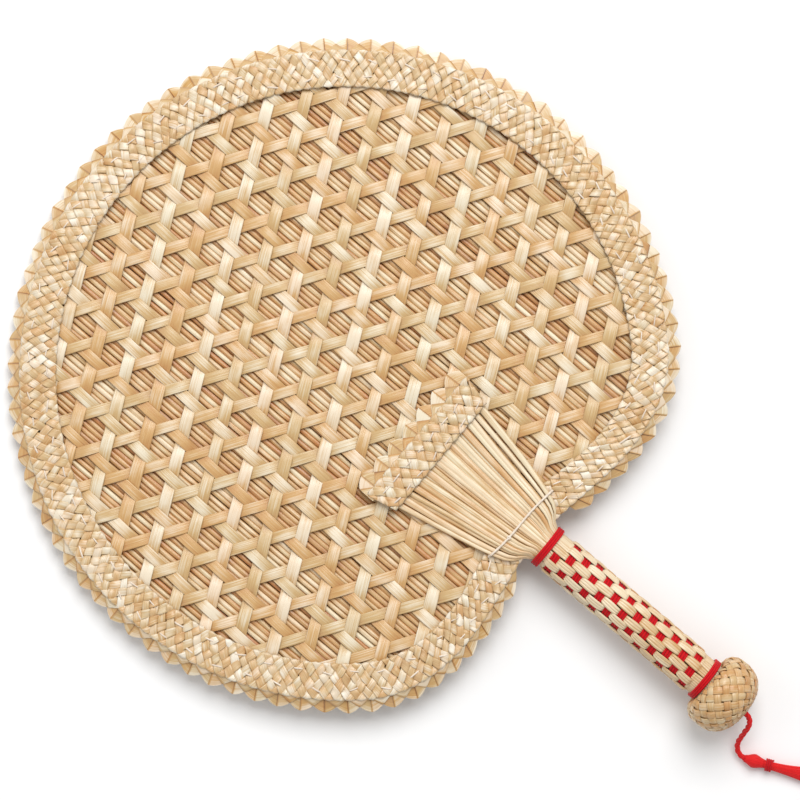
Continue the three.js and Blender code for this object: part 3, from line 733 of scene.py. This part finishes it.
LEAF_SHADES = [srgb(112, 62, 22), srgb(178, 122, 58), srgb(200, 160, 99), srgb(236, 224, 202)]
LEAF_HUES = [srgb(212, 166, 120), srgb(200, 186, 150)]
PLAIT_SHADES = [srgb(120, 72, 30), srgb(184, 134, 76), srgb(206, 172, 122), srgb(236, 226, 208)]
STRAW_SHADES = [srgb(104, 48, 12), srgb(174, 104, 40), srgb(200, 158, 100), srgb(236, 222, 192)]
STRAW_HUES = [srgb(208, 156, 108), srgb(202, 180, 138)]
RED_SHADES = [srgb(152, 0, 10), srgb(226, 8, 24)]
TASSEL_SHADES = [srgb(184, 6, 12), srgb(238, 36, 36)]
WHITE_SHADES = [srgb(208, 186, 164), srgb(242, 230, 214)]
leaf = plant_finish("dried_leaf", "leaf", LEAF_SHADES, LEAF_HUES, relief=0.45)
plaited_leaf = plant_finish("plaited_leaf", "leaf", PLAIT_SHADES, LEAF_HUES, relief=0.45)
straw = plant_finish("straw", "straw", STRAW_SHADES, STRAW_HUES, relief=0.5)
cane = cane_finish()
red_yarn = yarn_finish("red_yarn", "red_yarn", *RED_SHADES, sheen=0.12)
tassel_yarn = yarn_finish("tassel_yarn", "red_yarn", *TASSEL_SHADES, sheen=0.2)
white_thread = yarn_finish("white_thread", "white_thread", *WHITE_SHADES, sheen=0.12)


# The blade's outline

def rim_radius(angle, inset):
    """The blade's radius at an angle from the handle, a distance in from the tips of its points."""
    off = abs(atan2(sin(angle), cos(angle)))
    drawn = 0.0
    if off < NOTCH_HALF_ANGLE:
        drawn = (1 + cos(pi * off / NOTCH_HALF_ANGLE)) / 2
    return BLADE_RADIUS - NOTCH_DEPTH * drawn - inset


def rim_point(angle, inset, level):
    radius = rim_radius(angle, inset)
    return Vector((radius * sin(angle), -radius * cos(angle), level))


def reach(start, way):
    """Follows a line from a point inside the rim to the rim of the woven middle."""
    inside = 0
    outside = 2 * BLADE_RADIUS
    for _ in range(REACH_HALVINGS):
        middle = (inside + outside) / 2
        point = start + way * middle
        if point.length < rim_radius(atan2(point.x, -point.y), RIM_INSET):
            inside = middle
        else:
            outside = middle
    return start + way * inside


class RimWalk:
    """Lengths walked round the blade at one inset, from the handle."""

    STEPS = 1440

    def __init__(self, inset):
        angles = [tau * i / self.STEPS for i in range(self.STEPS + 1)]
        points = [rim_point(angle, inset, 0) for angle in angles]
        self.walked = [0.0]
        for a, b in zip(points, points[1:]):
            self.walked.append(self.walked[-1] + (b - a).length)
        self.length = self.walked[-1]

    def angle(self, length):
        length %= self.length
        i = bisect.bisect_right(self.walked, length) - 1
        share = (length - self.walked[i]) / (self.walked[i + 1] - self.walked[i])
        return tau * (i + share) / self.STEPS


# Backing and lattice

def rising_set():
    """The third set of strips, which runs midway between the crossings of the other two."""
    total = Vector((0, 0))
    for across, pitch, _ in (UPRIGHT_SET, FALLING_SET):
        total += Vector((cos(across), sin(across))) / pitch
    return (atan2(total.y, total.x), 1 / total.length, UPRIGHT_SET[2] + FALLING_SET[2] + 0.5)


LATTICE = {"upright": UPRIGHT_SET, "falling": FALLING_SET, "rising": rising_set()}
PASSES_OVER = {"upright": "rising", "falling": "upright", "rising": "falling"}
PASSES_UNDER = {under: over for over, under in PASSES_OVER.items()}


def strip_closeness(name, point):
    """1 on a strip of a set, falling to 0 between two strips."""
    across, pitch, first = LATTICE[name]
    phase = (point.x * cos(across) + point.y * sin(across)) / pitch - first
    return 1 - ease(abs(phase - round(phase)), *STRIP_EDGE)


def backing():
    """Straws side by side along the handle, with painted shade in the gaps between them and under the lattice
    strips.
    """
    chance = random.Random("backing")
    weave = Weave()
    most = int(rim_radius(pi / 2, RIM_INSET) / STRAW_PITCH) - 1
    for i in range(-most, most):
        x = (i + 0.5) * STRAW_PITCH
        far = reach(Vector((x, 0, 0)), Vector((0, 1, 0)))
        near = reach(Vector((x, 0, 0)), Vector((0, -1, 0)))
        width, height, phase = draw(chance, STRAW_RANGES)
        half_width = STRAW_PITCH / 2 * width
        half_height = STRAW_HALF_HEIGHT * height
        shade = chance.gauss(*STRAW_SHADE)

        def lay(u, turn):
            y = mix(near.y, far.y, u)
            bow = sway(STRAW_BOW, phase, u)
            return Vector((x + bow + half_width * cos(turn), y, half_height * sin(turn)))

        # Painted shade: darker under the lattice strips and towards the gaps between straws
        def tint(u, turn):
            spot = Vector((x, mix(near.y, far.y, u)))
            shaded_by_strips = max(strip_closeness(name, spot) for name in LATTICE)
            return shade - UNDER_STRIP_PAINTED_SHADE * shaded_by_strips - painted_gap_shade(STRAW_GAP_SHADE, turn)

        weave.rod((far.y - near.y, 2 * half_width), tint, lay, steps=84, sides=8)
    weave.piece("backing_straws", straw, ["straw_backing"])


def lattice(name, side, face):
    """One set of strips, over one of the other sets and under the other one."""
    chance = random.Random(side + name)
    angle, pitch, first = LATTICE[name]
    across = Vector((cos(angle), sin(angle), 0))
    ahead = UP.cross(across)
    weave = Weave()
    most = int(BLADE_RADIUS / pitch)
    for i in range(-most - 1, most + 1):
        start = across * ((i + first) * pitch)
        if start.length + STRIP_WIDTH > rim_radius(atan2(start.x, -start.y), RIM_INSET):
            continue
        far = reach(start, ahead)
        near = reach(start, -ahead)
        length = (far - near).length
        width, phase, own_tint = draw(chance, STRIP_RANGES)
        half = STRIP_WIDTH / 2 * SET_WIDTHS[name] * width
        shade = SET_TINTS[name][i % 2] + own_tint

        def lift(point):
            return strip_closeness(PASSES_OVER[name], point) - strip_closeness(PASSES_UNDER[name], point)

        def spot(u, v):
            return near.lerp(far, u) + across * (v * half + sway(STRIP_SWAY, phase, u))

        def lay(u, v):
            point = spot(u, v)
            point.z = LATTICE_LEVEL + STRIP_LIFT * lift(point) + STRIP_CROWN * (1 - v * v)
            return point

        # Painted light and shade: lighter where the strip is lifted over another, darker where it passes
        # under
        def tint(u, v):
            streak = sway(STRIP_STREAK, 2 * phase, length * u)
            return shade + STRIP_LIFT_PAINTED_SHADING * lift(spot(u, v)) + streak

        weave.strip((length, 2 * half), tint, lay, steps=round(length / STRIP_STEP), columns=4)
    weave.piece(f"{side}_lattice_{name}", leaf, [f"{side}_strips_{name}"], LEAF_THICKNESS, face)


# Plaits

def plait(weave, chance, length, width, strands, rows, level, spot):
    """Adds a flat plait of strands that slant both ways. spot(s, t) is the place s along and t across."""
    step = length / strands
    row = width / rows
    slant = step / (2 * row)
    inner = [chance.uniform(*STRAND_SLIP_RANGE) for _ in range(strands)]
    outer = [chance.uniform(*STRAND_SLIP_RANGE) for _ in range(strands)]
    for way in (1, -1):
        for i in range(strands):
            share, tilt, crown, phase = draw(chance, STRAND_RANGES)
            half = step / 2 * share
            starts = (inner[i], outer[(i + (way - 1) // 2 * rows) % strands])
            shade = clamp(chance.gauss(*STRAND_SHADE), STRAND_DARKEST, STRAND_PALEST)

            def turned(t):
                """0 on the fold at either edge of the plait, rising to 1."""
                return sqrt(1 - (1 - clamp(min(t, width - t) / FOLD_RUN)) ** 2)

            def wave(t, v):
                """1 where the strand lies on top, -1 where it lies below."""
                crossing = cos(pi * (t / row + way * v * half / step))
                return flat_wave(way * crossing, PLAIT_FLATNESS)

            def lay(u, v):
                peak = FOLD_PEAK * (1 - abs(v)) - FOLD_HOLLOW
                t = mix(-peak, width + peak, u)
                s = i * step + way * slant * t + mix(*starts, u) + v * half
                s += sway(STRAND_SWAY, phase, u) * turned(t)
                tipped = tilt * sin(phase + STRAND_TILT_TURN * u) * v
                lift = (PLAIT_LIFT * wave(t, v) + crown * (1 - v * v) + tipped) * turned(t)
                place = spot(s, t)
                place.z = level + lift
                return place

            # Painted light where the strand is on top, painted shade where it is below and towards its edges
            def tint(u, v):
                t = u * width
                fleck = sway(STRAND_FLECK, 3 * phase, u)
                fold = FOLD_TINT * (1 - turned(t))
                return shade + fleck + fold + STRAND_TOP_PAINTED_SHADING * wave(t, v) - STRAND_EDGE_PAINTED_SHADE * v * v

            grain = (width * STRAND_GRAIN[0], 2 * half * STRAND_GRAIN[1])
            weave.strip(grain, tint, lay, steps=22, columns=4, crowding=PLAIT_CROWDING)


def stitch(weave, chance, start, end, level):
    """Adds a short stitch of white thread that dips into the plait at both ends."""
    arch = []
    for share, rise in STITCH_ARCH:
        point = start.lerp(end, share)
        point.z = level + rise
        arch.append(point)
    share, tint = draw(chance, STITCH_RANGES)
    weave.thread(smooth_line(arch, steps=2), STITCH_RADIUS * share, tint, sides=6)


def border(side, face):
    """The plait round the blade and the stitches that sew it down."""
    chance = random.Random("border" + side)
    walk = RimWalk(BRAID_INSET + BRAID_WIDTH / 2)

    def spot(s, t):
        return rim_point(walk.angle(s), BRAID_INSET + BRAID_WIDTH - t, 0)

    weave = Weave()
    plait(weave, chance, walk.length, BRAID_WIDTH, BORDER_STRANDS, BORDER_ROWS, BRAID_LEVEL, spot)
    weave.piece(f"{side}_border_plait", plaited_leaf, [f"{side}_border_braid"], LEAF_THICKNESS, face)

    stitches = Weave()
    level = BRAID_TOP - BORDER_STITCH_SINK
    for t in BORDER_STITCH_ROWS:
        s = 0
        while s < walk.length:
            s += chance.uniform(*BORDER_GAP_RANGE)
            run, slip, shift = draw(chance, BORDER_STITCH_RANGES)
            start = spot(s, t + shift - slip)
            stitch(stitches, chance, start, spot(s + run, t + shift + slip), level)
    stitches.piece(f"{side}_border_stitches", white_thread, (), 0, face)


# Folded points

def facet(weave, tint, corners, place):
    """Adds a flat facet from an inner edge to an outer edge, with two corners on each."""
    inner_start, inner_end, outer_start, outer_end = [Vector(corner) for corner in corners]

    def lay(u, v):
        inner = inner_start.lerp(inner_end, u)
        outer = outer_start.lerp(outer_end, u)
        outer.y -= POINT_SWELL * 4 * u * (1 - u)
        return place(*inner.lerp(outer, (v + 1) / 2))

    weave.strip(FACET_GRAIN, tint, lay, FACET_STEPS, columns=2, crowding=EVEN)


def folded_point(weave, chance, place, faces):
    """Adds one point: two facets that meet in a crease, and the pale turn between it and the next point.

    place(g, inset, level) takes shares of the pitch and millimetres in from the tip.
    """
    middle, tip, shift = draw(chance, POINT_RANGES)
    root = middle - POINT_ROOT_SHIFT
    valley = VALLEY_INSET + shift
    tan = chance.gauss(*TAN_SHADE)
    light = chance.gauss(*LIGHT_SHADE)
    cream = chance.gauss(*CREAM_SHADE)

    def rim(v):
        return RIM_TINT * near_end(v, RIM_SHARPNESS)

    # Painted shade: dark lines where the facets meet in the crease, and at the second facet's valley edge
    def toward_crease(u, v):
        return tan + rim(v) - CREASE_PAINTED_SHADE * near_end(u, FACET_STEPS)

    def from_crease(u, v):
        crease = PAST_CREASE_PAINTED_SHADE * near_end(1 - u, FACET_STEPS)
        return light + rim(v) - crease - VALLEY_PAINTED_SHADE * near_end(u, FACET_STEPS)

    def over_turn(u, v):
        return cream - (TURN_SHADOW_TINT * near_end(v, RIM_SHARPNESS) if u < TURN_SHADOW_SHARE else 0)

    first = [
        (-POINT_LAP, BASE_INSET, BASE_LEVEL),
        (root, BRAID_INSET, BELOW["root"]),
        (-POINT_LAP, valley, BELOW["valley"]),
        (middle, tip, BELOW["tip"]),
    ]
    second = [
        (root, BRAID_INSET, ABOVE["root"]),
        (1 + POINT_LAP, BASE_INSET, BASE_LEVEL),
        (middle, tip, ABOVE["tip"]),
        (1 + POINT_LAP, valley, ABOVE["valley"]),
    ]
    for face in faces:

        def on_face(g, inset, level):
            return place(g, inset, face * level)

        def lay_turn(u, v):
            g, outer = TURN_OUTLINE[round(TURN_STEPS * u)]
            inset = mix(TURN_BASE_INSET, outer, (v + 1) / 2)
            rise = clamp((inset - TURN_RISE_FROM) / TURN_RISE_RUN)
            return on_face(g, inset, mix(*TURN_LEVELS, rise) + TURN_CROWN * sqrt(1 - v * v))

        facet(weave, toward_crease, first, on_face)
        facet(weave, from_crease, second, on_face)
        weave.strip(TURN_GRAIN, over_turn, lay_turn, TURN_STEPS, columns=6, crowding=0.6)


def edging():
    """The points all round the blade, but not beside the handle."""
    chance = random.Random("edging")
    walk = RimWalk(0)
    pitch = walk.length / POINT_COUNT
    weave = Weave()
    for i in range(POINT_COUNT):
        tip = rim_point(walk.angle((i + 0.5) * pitch), 0, 0)
        if tip.y < 0 and abs(tip.x) < HANDLE_CLEARANCE:
            continue

        def place(g, inset, level):
            return rim_point(walk.angle((i + g) * pitch), inset, level)

        folded_point(weave, chance, place, (1, -1))
    weave.piece("folded_edging", leaf, ["pointed_edging"], POINT_THICKNESS, smooth=False)


# Sprays

def spray_half_width(up):
    shoulder = SHOULDER_HALF_WIDTH * (1 - exp(-up / SHOULDER_RUN))
    return SPRAY_HALF_WIDTH + SPRAY_FLARE * up + shoulder


def spray_level(x, up):
    """The underside of a spray, which domes near the neck and steps off the border."""
    dome = DOME_HEIGHT * exp(-up / DOME_RUN) * (1 - (x / spray_half_width(up)) ** 2)
    return mix(OVER_BORDER, OVER_LATTICE, ease(up, *STEP_OFF)) + dome


def spray(side, face):
    """Straws from the neck that spread over the blade, in two layers."""
    chance = random.Random("spray" + side)
    weave = Weave()
    for count, layer_rise, layer_painted_shade in SPRAY_LAYERS:
        # The upper layer gets painted light and the lower one painted shade
        for i in range(count):
            share = (2 * i + 1) / count - 1
            start, end, bow, width, lift = draw(chance, SPRAY_RANGES)
            # Painted light towards the side that faces the main light
            shade = chance.gauss(SPRAY_SHADE[0] + SPRAY_SIDE_PAINTED_LIGHT * share, SPRAY_SHADE[1]) + layer_painted_shade
            swing = SPRAY_SWING * (share + start)

            def lay(u, turn):
                up = mix(SPRAY_FOOT, SPRAY_END, u)
                half = spray_half_width(max(up, 0))
                across = half * (share + mix(start, end, u)) * SPRAY_FILL + bow * sin(pi * u) ** 2
                height = spray_level(across, max(up, 0)) + layer_rise + lift
                spread = ease(up, *SPREAD)
                radius = width * mix(SPRAY_NECK_RADIUS, half / count, spread)
                x = mix(BOUND_RADIUS * sin(swing), across, spread)
                z = mix(BOUND_RADIUS * cos(swing), height, spread)
                x += radius * cos(turn)
                z += min(radius, SPRAY_HALF_HEIGHT) * sin(turn)
                return Vector((x, NECK_Y + up, z))

            # Painted shade in the gaps between straws
            def tint(u, turn):
                return shade - painted_gap_shade(SPRAY_GAP_SHADE, turn)

            weave.rod((SPRAY_END, SPRAY_GRAIN_WIDTH), tint, lay, steps=24, sides=14)
    weave.piece(f"{side}_spray", straw, (), 0, face)


def short_braid(side, face):
    """The short plait across a spray's wide end, its stitches and its points."""
    chance = random.Random("short" + side)
    near = spray_half_width(SPRAY_LENGTH) + SHORT_OVERHANG
    far = spray_half_width(SPRAY_LENGTH + SHORT_BRAID_WIDTH) + SHORT_OVERHANG
    foot = NECK_Y + SPRAY_LENGTH

    def spot(s, t):
        return Vector((s - far - SHORT_MARGIN, foot + t, 0))

    weave = Weave()
    length = 2 * (far + SHORT_MARGIN)
    plait(weave, chance, length, SHORT_BRAID_WIDTH, SHORT_STRANDS, SHORT_ROWS, SHORT_BRAID_LEVEL, spot)
    for end in (1, -1):
        slope = Vector((end * SHORT_BRAID_WIDTH, near - far, 0)).normalized()
        corner = Vector((end * near, foot, 0))
        everything = list(weave.mesh.verts) + list(weave.mesh.edges) + list(weave.mesh.faces)
        bmesh.ops.bisect_plane(weave.mesh, geom=everything, plane_co=corner, plane_no=slope, clear_outer=True)
    weave.piece(f"{side}_short_plait", plaited_leaf, [f"{side}_short_braid"], LEAF_THICKNESS, face)

    stitches = Weave()
    level = SHORT_BRAID_LEVEL + SHORT_STITCH_RISE
    for t, gap in SHORT_STITCH_ROWS:
        s = SHORT_MARGIN + SHORT_STITCH_FROM
        while s < length - SHORT_MARGIN - SHORT_STITCH_STOP:
            run, slip = draw(chance, SHORT_STITCH_RANGES)
            stitch(stitches, chance, spot(s, t - slip), spot(s + run, t + slip), level)
            s += gap * chance.uniform(*SHORT_GAP_RANGE)
    stitches.piece(f"{side}_short_stitches", white_thread, (), 0, face)

    points = Weave()
    pitch = 2 * far / SHORT_POINT_COUNT
    for i in range(SHORT_POINT_COUNT):

        def place(g, inset, level):
            y = foot + SHORT_BRAID_WIDTH + SHORT_POINT_HEIGHT * (1 - inset / BRAID_INSET)
            x = clamp(far - (i + g) * pitch, -far, far)
            return Vector((x, y, SHORT_POINT_LEVEL + SHORT_POINT_SQUASH * level))

        folded_point(points, chance, place, (1,))
    points.piece(f"{side}_short_folds", leaf, [f"{side}_short_points"], POINT_THICKNESS, face, smooth=False)


def tie(side, face):
    """White thread across a spray, with a small knot."""
    half = spray_half_width(TIE_FROM_NECK)
    y = NECK_Y + TIE_FROM_NECK
    tucked = BRAID_TOP + TIE_TUCK_RISE
    edge = BRAID_TOP + TIE_EDGE_RISE

    def over(share):
        x = share * half
        shift = sway(TIE_WAVE, 0, share) - TIE_SLANT * share
        return Vector((x, y + shift, spray_level(x, TIE_FROM_NECK) + TIE_RISE))

    def radius(along, turn):
        return TIE_RADIUS * two_ply(TIE_PLY, along, turn)

    route = [Vector((-half - TIE_TUCK, y + TIE_TUCK, tucked))]
    route.append(Vector((-half * TIE_EDGE_SHARE, y + TIE_EDGE_SHIFTS[0], edge)))
    route += [over(share) for share in TIE_SHARES]
    route.append(Vector((half * TIE_EDGE_SHARE, y + TIE_EDGE_SHIFTS[1], edge)))
    route.append(Vector((half + TIE_TUCK, y - TIE_TUCK, tucked)))
    weave = Weave()
    weave.thread(smooth_line(route, steps=14), radius, tint=0.8, sides=8)
    loop = []
    for angle in KNOT_ANGLES:
        around = Vector((cos(angle), sin(angle), KNOT_CLIMB * angle - KNOT_SINK))
        loop.append(over(KNOT_SHARE) + around * KNOT_RADIUS)
    weave.thread(smooth_line(loop, steps=5), KNOT_THREAD, tint=0.9, sides=6)
    weave.piece(f"{side}_tie", white_thread, [f"{side}_tie_thread"], 0, face)


# Handle

def stake(index):
    """One stake: a flat bundle of straws, over and under the red band by turns."""
    chance = random.Random(f"stake{index}")
    middle = -(index + 0.5) * tau / STAKE_COUNT
    first = BAND_TOP - BAND_PITCH * (index + 0.5) / STAKE_COUNT
    count = len(range(index, BAND_CROSSINGS, STAKE_COUNT))
    last = first - BAND_PITCH * (count - 1)
    opening = 1 if index % 2 else -1
    width, phase = draw(chance, STAKE_RANGES)
    half = pi / STAKE_COUNT * width
    shade = chance.gauss(*STAKE_SHADE)

    def straws(v):
        """1 on the back of each straw, -1 in the groove between two."""
        return cos(STAKE_STRAWS * pi * v)

    def lay(u, v):
        y = mix(STAKE_TOP, STAKE_FOOT, u)
        wave = opening * cos(pi * (first - y) / BAND_PITCH)
        outside = max(y - first - BAND_PITCH / 2, last - BAND_PITCH / 2 - y)
        woven = 1 - ease(outside / WEAVE_EASE + 1)
        swing = STAKE_SWING * flat_wave(wave + FLOAT_BIAS, STAKE_FLATNESS)
        ridge = STAKE_RIDGE * straws(v) + FLOAT_BULGE * max(0, wave) * woven
        angle = middle + sway(STAKE_SWAY, phase, y) + v * half * (1 - STAKE_PINCH + STAKE_PINCH * wave)
        out = mix(BOUND_RADIUS, BAND_RADIUS + swing, woven) + ridge
        return Vector((out * sin(angle), y, out * cos(angle)))

    # Painted shade in the grooves between straws
    def tint(u, v):
        return shade - STAKE_GROOVE_PAINTED_SHADE * (1 - straws(v)) / 2

    weave = Weave()
    grain = (STAKE_TOP - STAKE_FOOT, STAKE_GRAIN_WIDTH)
    weave.strip(grain, tint, lay, steps=198, columns=12, crowding=EVEN)
    name = f"handle_stake_{index + 1:02d}"
    weave.piece(f"{name}_bundle", straw, [name], STAKE_THICKNESS)


def wound_yarn(weave, tint, centre, radius, thickness, pitch, turns, first_angle):
    """Adds round yarn of two plies wound about the handle's axis."""
    length = tau * radius * turns

    def lay(u, turn):
        angle = first_angle - tau * turns * u
        ply = thickness / 2 * two_ply(WOUND_PLY, u * length, turn)
        out = radius + ply * cos(turn)
        y = centre + pitch * turns * (0.5 - u) + ply * sin(turn)
        return Vector((out * sin(angle), y, out * cos(angle)))

    weave.rod((length, thickness), tint, lay, steps=round(WOUND_STEPS * turns), sides=8)


def red_band():
    """Three yarns side by side, wound down the handle through the stakes."""
    weave = Weave()
    turns = BAND_CROSSINGS / STAKE_COUNT
    middle = BAND_TOP - BAND_PITCH * turns / 2
    for shift, tint in BAND_YARNS:
        wound_yarn(weave, tint, middle + shift, BAND_RADIUS, BAND_YARN, BAND_PITCH, turns, 0)
    weave.piece("red_band_yarns", red_yarn, ["red_band"])


def bindings():
    """Red yarn round the two ends of the handle."""
    for name, (y, thickness, pitch) in BINDINGS.items():
        weave = Weave()
        wound_yarn(weave, BINDING_TINT, y, BINDING_RADIUS, thickness, pitch, BINDING_TURNS, pi)
        weave.piece(f"{name}_binding_yarn", red_yarn, [f"{name}_binding"])


# Pommel

def pommel():
    """Strips that slant both ways round a squashed ball, gathered straight where they leave the binding."""
    chance = random.Random("pommel")
    profile = smooth_line([Vector((radius, y, 0)) for radius, y in POMMEL_PROFILE], steps=8)
    twist = [0.0]
    for i, (a, b) in enumerate(zip(profile, profile[1:])):
        slant = ease(i, *GATHER)
        twist.append(twist[-1] + slant * (b - a).length / max(TWIST_RADIUS, (a.x + b.x) / 2))
    last = len(profile) - 1
    grain = (line_length(profile) * POMMEL_GRAIN[0], POMMEL_GRAIN[1])
    spacing = tau / POMMEL_STRANDS
    weave = Weave()
    for way in (1, -1):
        for i in range(POMMEL_STRANDS):
            width, slip, crown = draw(chance, POMMEL_RANGES)
            half = spacing / 2 * width
            start = spacing * (i + slip)
            shade = chance.gauss(*POMMEL_SHADE)

            def lay(u, v):
                k = round(u * last)
                spot = profile[k]
                run = profile[min(k + 1, last)] - profile[max(k - 1, 0)]
                outward = Vector((-run.y, run.x, 0)).normalized()
                wave = way * cos(POMMEL_STRANDS * twist[k] + way * v * pi * half / spacing)
                lift = POMMEL_LIFT * flat_wave(wave, PLAIT_FLATNESS)
                spot = spot + outward * (lift + crown * (1 - v * v) - POMMEL_SHRINK * spot.x)
                drawn_in = mix(GATHERED_WIDTH, 1, ease(u, 0, GATHERED_SHARE))
                angle = start + way * twist[k] + v * half * drawn_in
                return Vector((spot.x * sin(angle), POMMEL_Y + spot.y, spot.x * cos(angle)))

            weave.strip(grain, shade, lay, last, columns=4, crowding=PLAIT_CROWDING)
    weave.piece("pommel_weave", straw, ["pommel_cover"], POMMEL_THICKNESS)


# Tassel

heading = Vector((cos(TASSEL_HEADING), sin(TASSEL_HEADING), 0))
sideways = UP.cross(heading)
cord_points = [Vector((x, y, mix(LYING_HEIGHT, pole_height, share))) for x, y, share in CORD_ROUTE]
head_start = cord_points[-1] - heading * CORD_LAP
head_end = head_start + heading * HEAD_LENGTH
cord_line = smooth_line(cord_points + [head_start + heading * CORD_END_IN_HEAD], steps=12)


def cord():
    """Plies of red yarn laid round each other."""
    weave = Weave()
    ply_radius = CORD_DIAMETER * CORD_PLY_SHARE
    last = len(cord_line) - 1
    for k in range(CORD_PLIES):
        ply = []
        for i, point in enumerate(cord_line):
            run = (cord_line[min(i + 1, last)] - cord_line[max(i - 1, 0)]).normalized()
            side = run.cross(UP).normalized()
            turn = tau * k / CORD_PLIES + CORD_PLY_TURN * i
            ply.append(point + (side * cos(turn) + run.cross(side) * sin(turn)) * ply_radius)
        weave.thread(ply, ply_radius, TASSEL_TINT, sides=10)
    return weave.piece("tassel_cord_plies", tassel_yarn, ["tassel_cord"], body="tassel")


def head():
    """A spindle of threads folded over the end of the cord."""
    weave = Weave()

    def lay(u, turn):
        if u < 0.5:
            swell = mix(HEAD_TOP_RADIUS, HEAD_RADIUS, ease(2 * u))
        else:
            swell = mix(HEAD_RADIUS, NECK_RADIUS, ease(2 * u - 1))
        out = swell * (1 + HEAD_RIB * cos(HEAD_RIBS * turn + HEAD_TWIST * u))
        middle = head_start + heading * HEAD_LENGTH * u
        return middle + sideways * out * cos(turn) + UP * out * sin(turn)

    weave.rod((HEAD_LENGTH, HEAD_GRAIN_WIDTH), TASSEL_TINT, lay, steps=16, sides=52)
    return weave.piece("tassel_head_threads", tassel_yarn, ["tassel_head"], body="tassel")


def neck():
    """Yarn wound round the tassel's neck."""
    weave = Weave()
    radius = NECK_RADIUS + NECK_OUT
    steps = NECK_TURNS * NECK_STEPS
    line = []
    for i in range(steps + 1):
        angle = tau * i / NECK_STEPS
        along = (NECK_LENGTH - NECK_RUN) / 2 + NECK_RUN * i / steps
        around = sideways * cos(angle) + UP * sin(angle)
        line.append(head_end + heading * along + around * radius)
    weave.thread(line, NECK_YARN_RADIUS, tint=0.35, sides=8)
    return weave.piece("tassel_neck_yarn", red_yarn, ["tassel_neck_binding"], body="tassel")


def skirt():
    """Loose threads that spread a little and lie on the floor."""
    chance = random.Random("skirt")
    weave = Weave()
    bound = NECK_RADIUS - SKIRT_INSET
    for _ in range(SKIRT_THREADS):
        turn = chance.uniform(0, tau)
        share = sqrt(chance.random())
        length = SKIRT_LENGTH * chance.uniform(*SKIRT_LENGTH_RANGE)
        drift = chance.uniform(*SKIRT_DRIFT_RANGE)
        route = []
        for u in SKIRT_SHARES:
            along = u * length
            spread = ease(along, NECK_LENGTH, SKIRT_SPREAD_RUN)
            across = mix(bound, SKIRT_HALF_WIDTH, spread) * share * cos(turn)
            over = mix(bound, SKIRT_HALF_HEIGHT, spread) * share * sin(turn)
            strayed = drift * u * sin(SKIRT_DRIFT_TURN * u + turn)
            bend = SKIRT_BEND * (along / SKIRT_LENGTH) ** 2 + strayed
            level = mix(LYING_HEIGHT, SKIRT_HEIGHT, spread) + over
            place = head_end + heading * along + sideways * (across + bend)
            route.append(Vector((place.x, place.y, max(level, SKIRT_LOWEST))))
        tint = chance.uniform(*SKIRT_TINT_RANGE)
        weave.thread(smooth_line(route, steps=3), SKIRT_THREAD_RADIUS, tint, sides=5)
    return weave.piece("tassel_skirt_threads", tassel_yarn, ["tassel_skirt"], body="tassel")


def tassel():
    """The cord and what hangs on it."""
    hung = [head(), neck(), skirt()]
    path = [TASSEL @ point for point in cord_line]
    cord()
    tuple(TASSEL @ cord_points[0])
    line_length(path)
    [tuple(point) for point in path]


# Setting

def camera():
    middle = FAN @ Vector((0, 0, 0))
    middle += (VIEW_RIGHT * VIEW_SHIFT[0] + VIEW_UP * VIEW_SHIFT[1]) * MILLIMETRE
    height = VIEW_ACROSS * MILLIMETRE * LENS / SENSOR
    data = bpy.data.cameras.new("camera")
    data.lens = LENS
    data.sensor_width = SENSOR
    seen_from = add("camera", data)
    turn = Matrix((VIEW_RIGHT, VIEW_UP, UP)).transposed().to_4x4()
    seen_from.matrix_world = Matrix.Translation(middle + UP * height) @ turn
    bpy.context.scene.camera = seen_from


def lamp(name, up, right, height, size, power):
    """A square soft light that looks at the origin, metres up and right in the picture and above it."""
    data = bpy.data.lights.new(name, "AREA")
    data.size = size
    data.energy = power
    light = add(name, data)
    place = VIEW_UP * up + VIEW_RIGHT * right + UP * height
    light.location = place
    light.rotation_euler = place.to_track_quat("Z", "Y").to_euler()


def studio():
    """A pale floor, a soft main light from the top of the picture, a weak one from its left and a fill."""
    made = bmesh.new()
    bmesh.ops.create_grid(made, x_segments=1, y_segments=1, size=3)
    mesh = bpy.data.meshes.new("floor")
    made.to_mesh(mesh)
    made.free()
    paper = Finish("floor_paper", "floor")
    paper.surface(Base_Color=(FLOOR_GREY, FLOOR_GREY, FLOOR_GREY, 1), Roughness=0.9)
    mesh.materials.append(paper.material)
    floor = add("floor", mesh)
    lamp("main_light", up=1.7, right=0.35, height=2.6, size=2, power=82)
    lamp("side_light", up=0.2, right=-0.9, height=0.8, size=0.8, power=1.8)
    world = bpy.data.worlds.new("fill")
    world.use_nodes = True
    background = world.node_tree.nodes["Background"]
    background.inputs["Color"].default_value = (1, 1, 1, 1)
    background.inputs["Strength"].default_value = FILL_STRENGTH
    bpy.context.scene.world = world
    bpy.context.scene.view_settings.view_transform = "Standard"


camera()
tassel()
backing()
for side_name, facing in (("front", 1), ("back", -1)):
    for set_name in LATTICE:
        lattice(set_name, side_name, facing)
    border(side_name, facing)
    spray(side_name, facing)
    short_braid(side_name, facing)
    tie(side_name, facing)
edging()
for stake_index in range(STAKE_COUNT):
    stake(stake_index)
red_band()
bindings()
pommel()
for kept in ("handle_stick", "pommel_filling"):
    frame["nodes"][kept].data.materials.clear()
    frame["nodes"][kept].data.materials.append(cane.material)
studio()
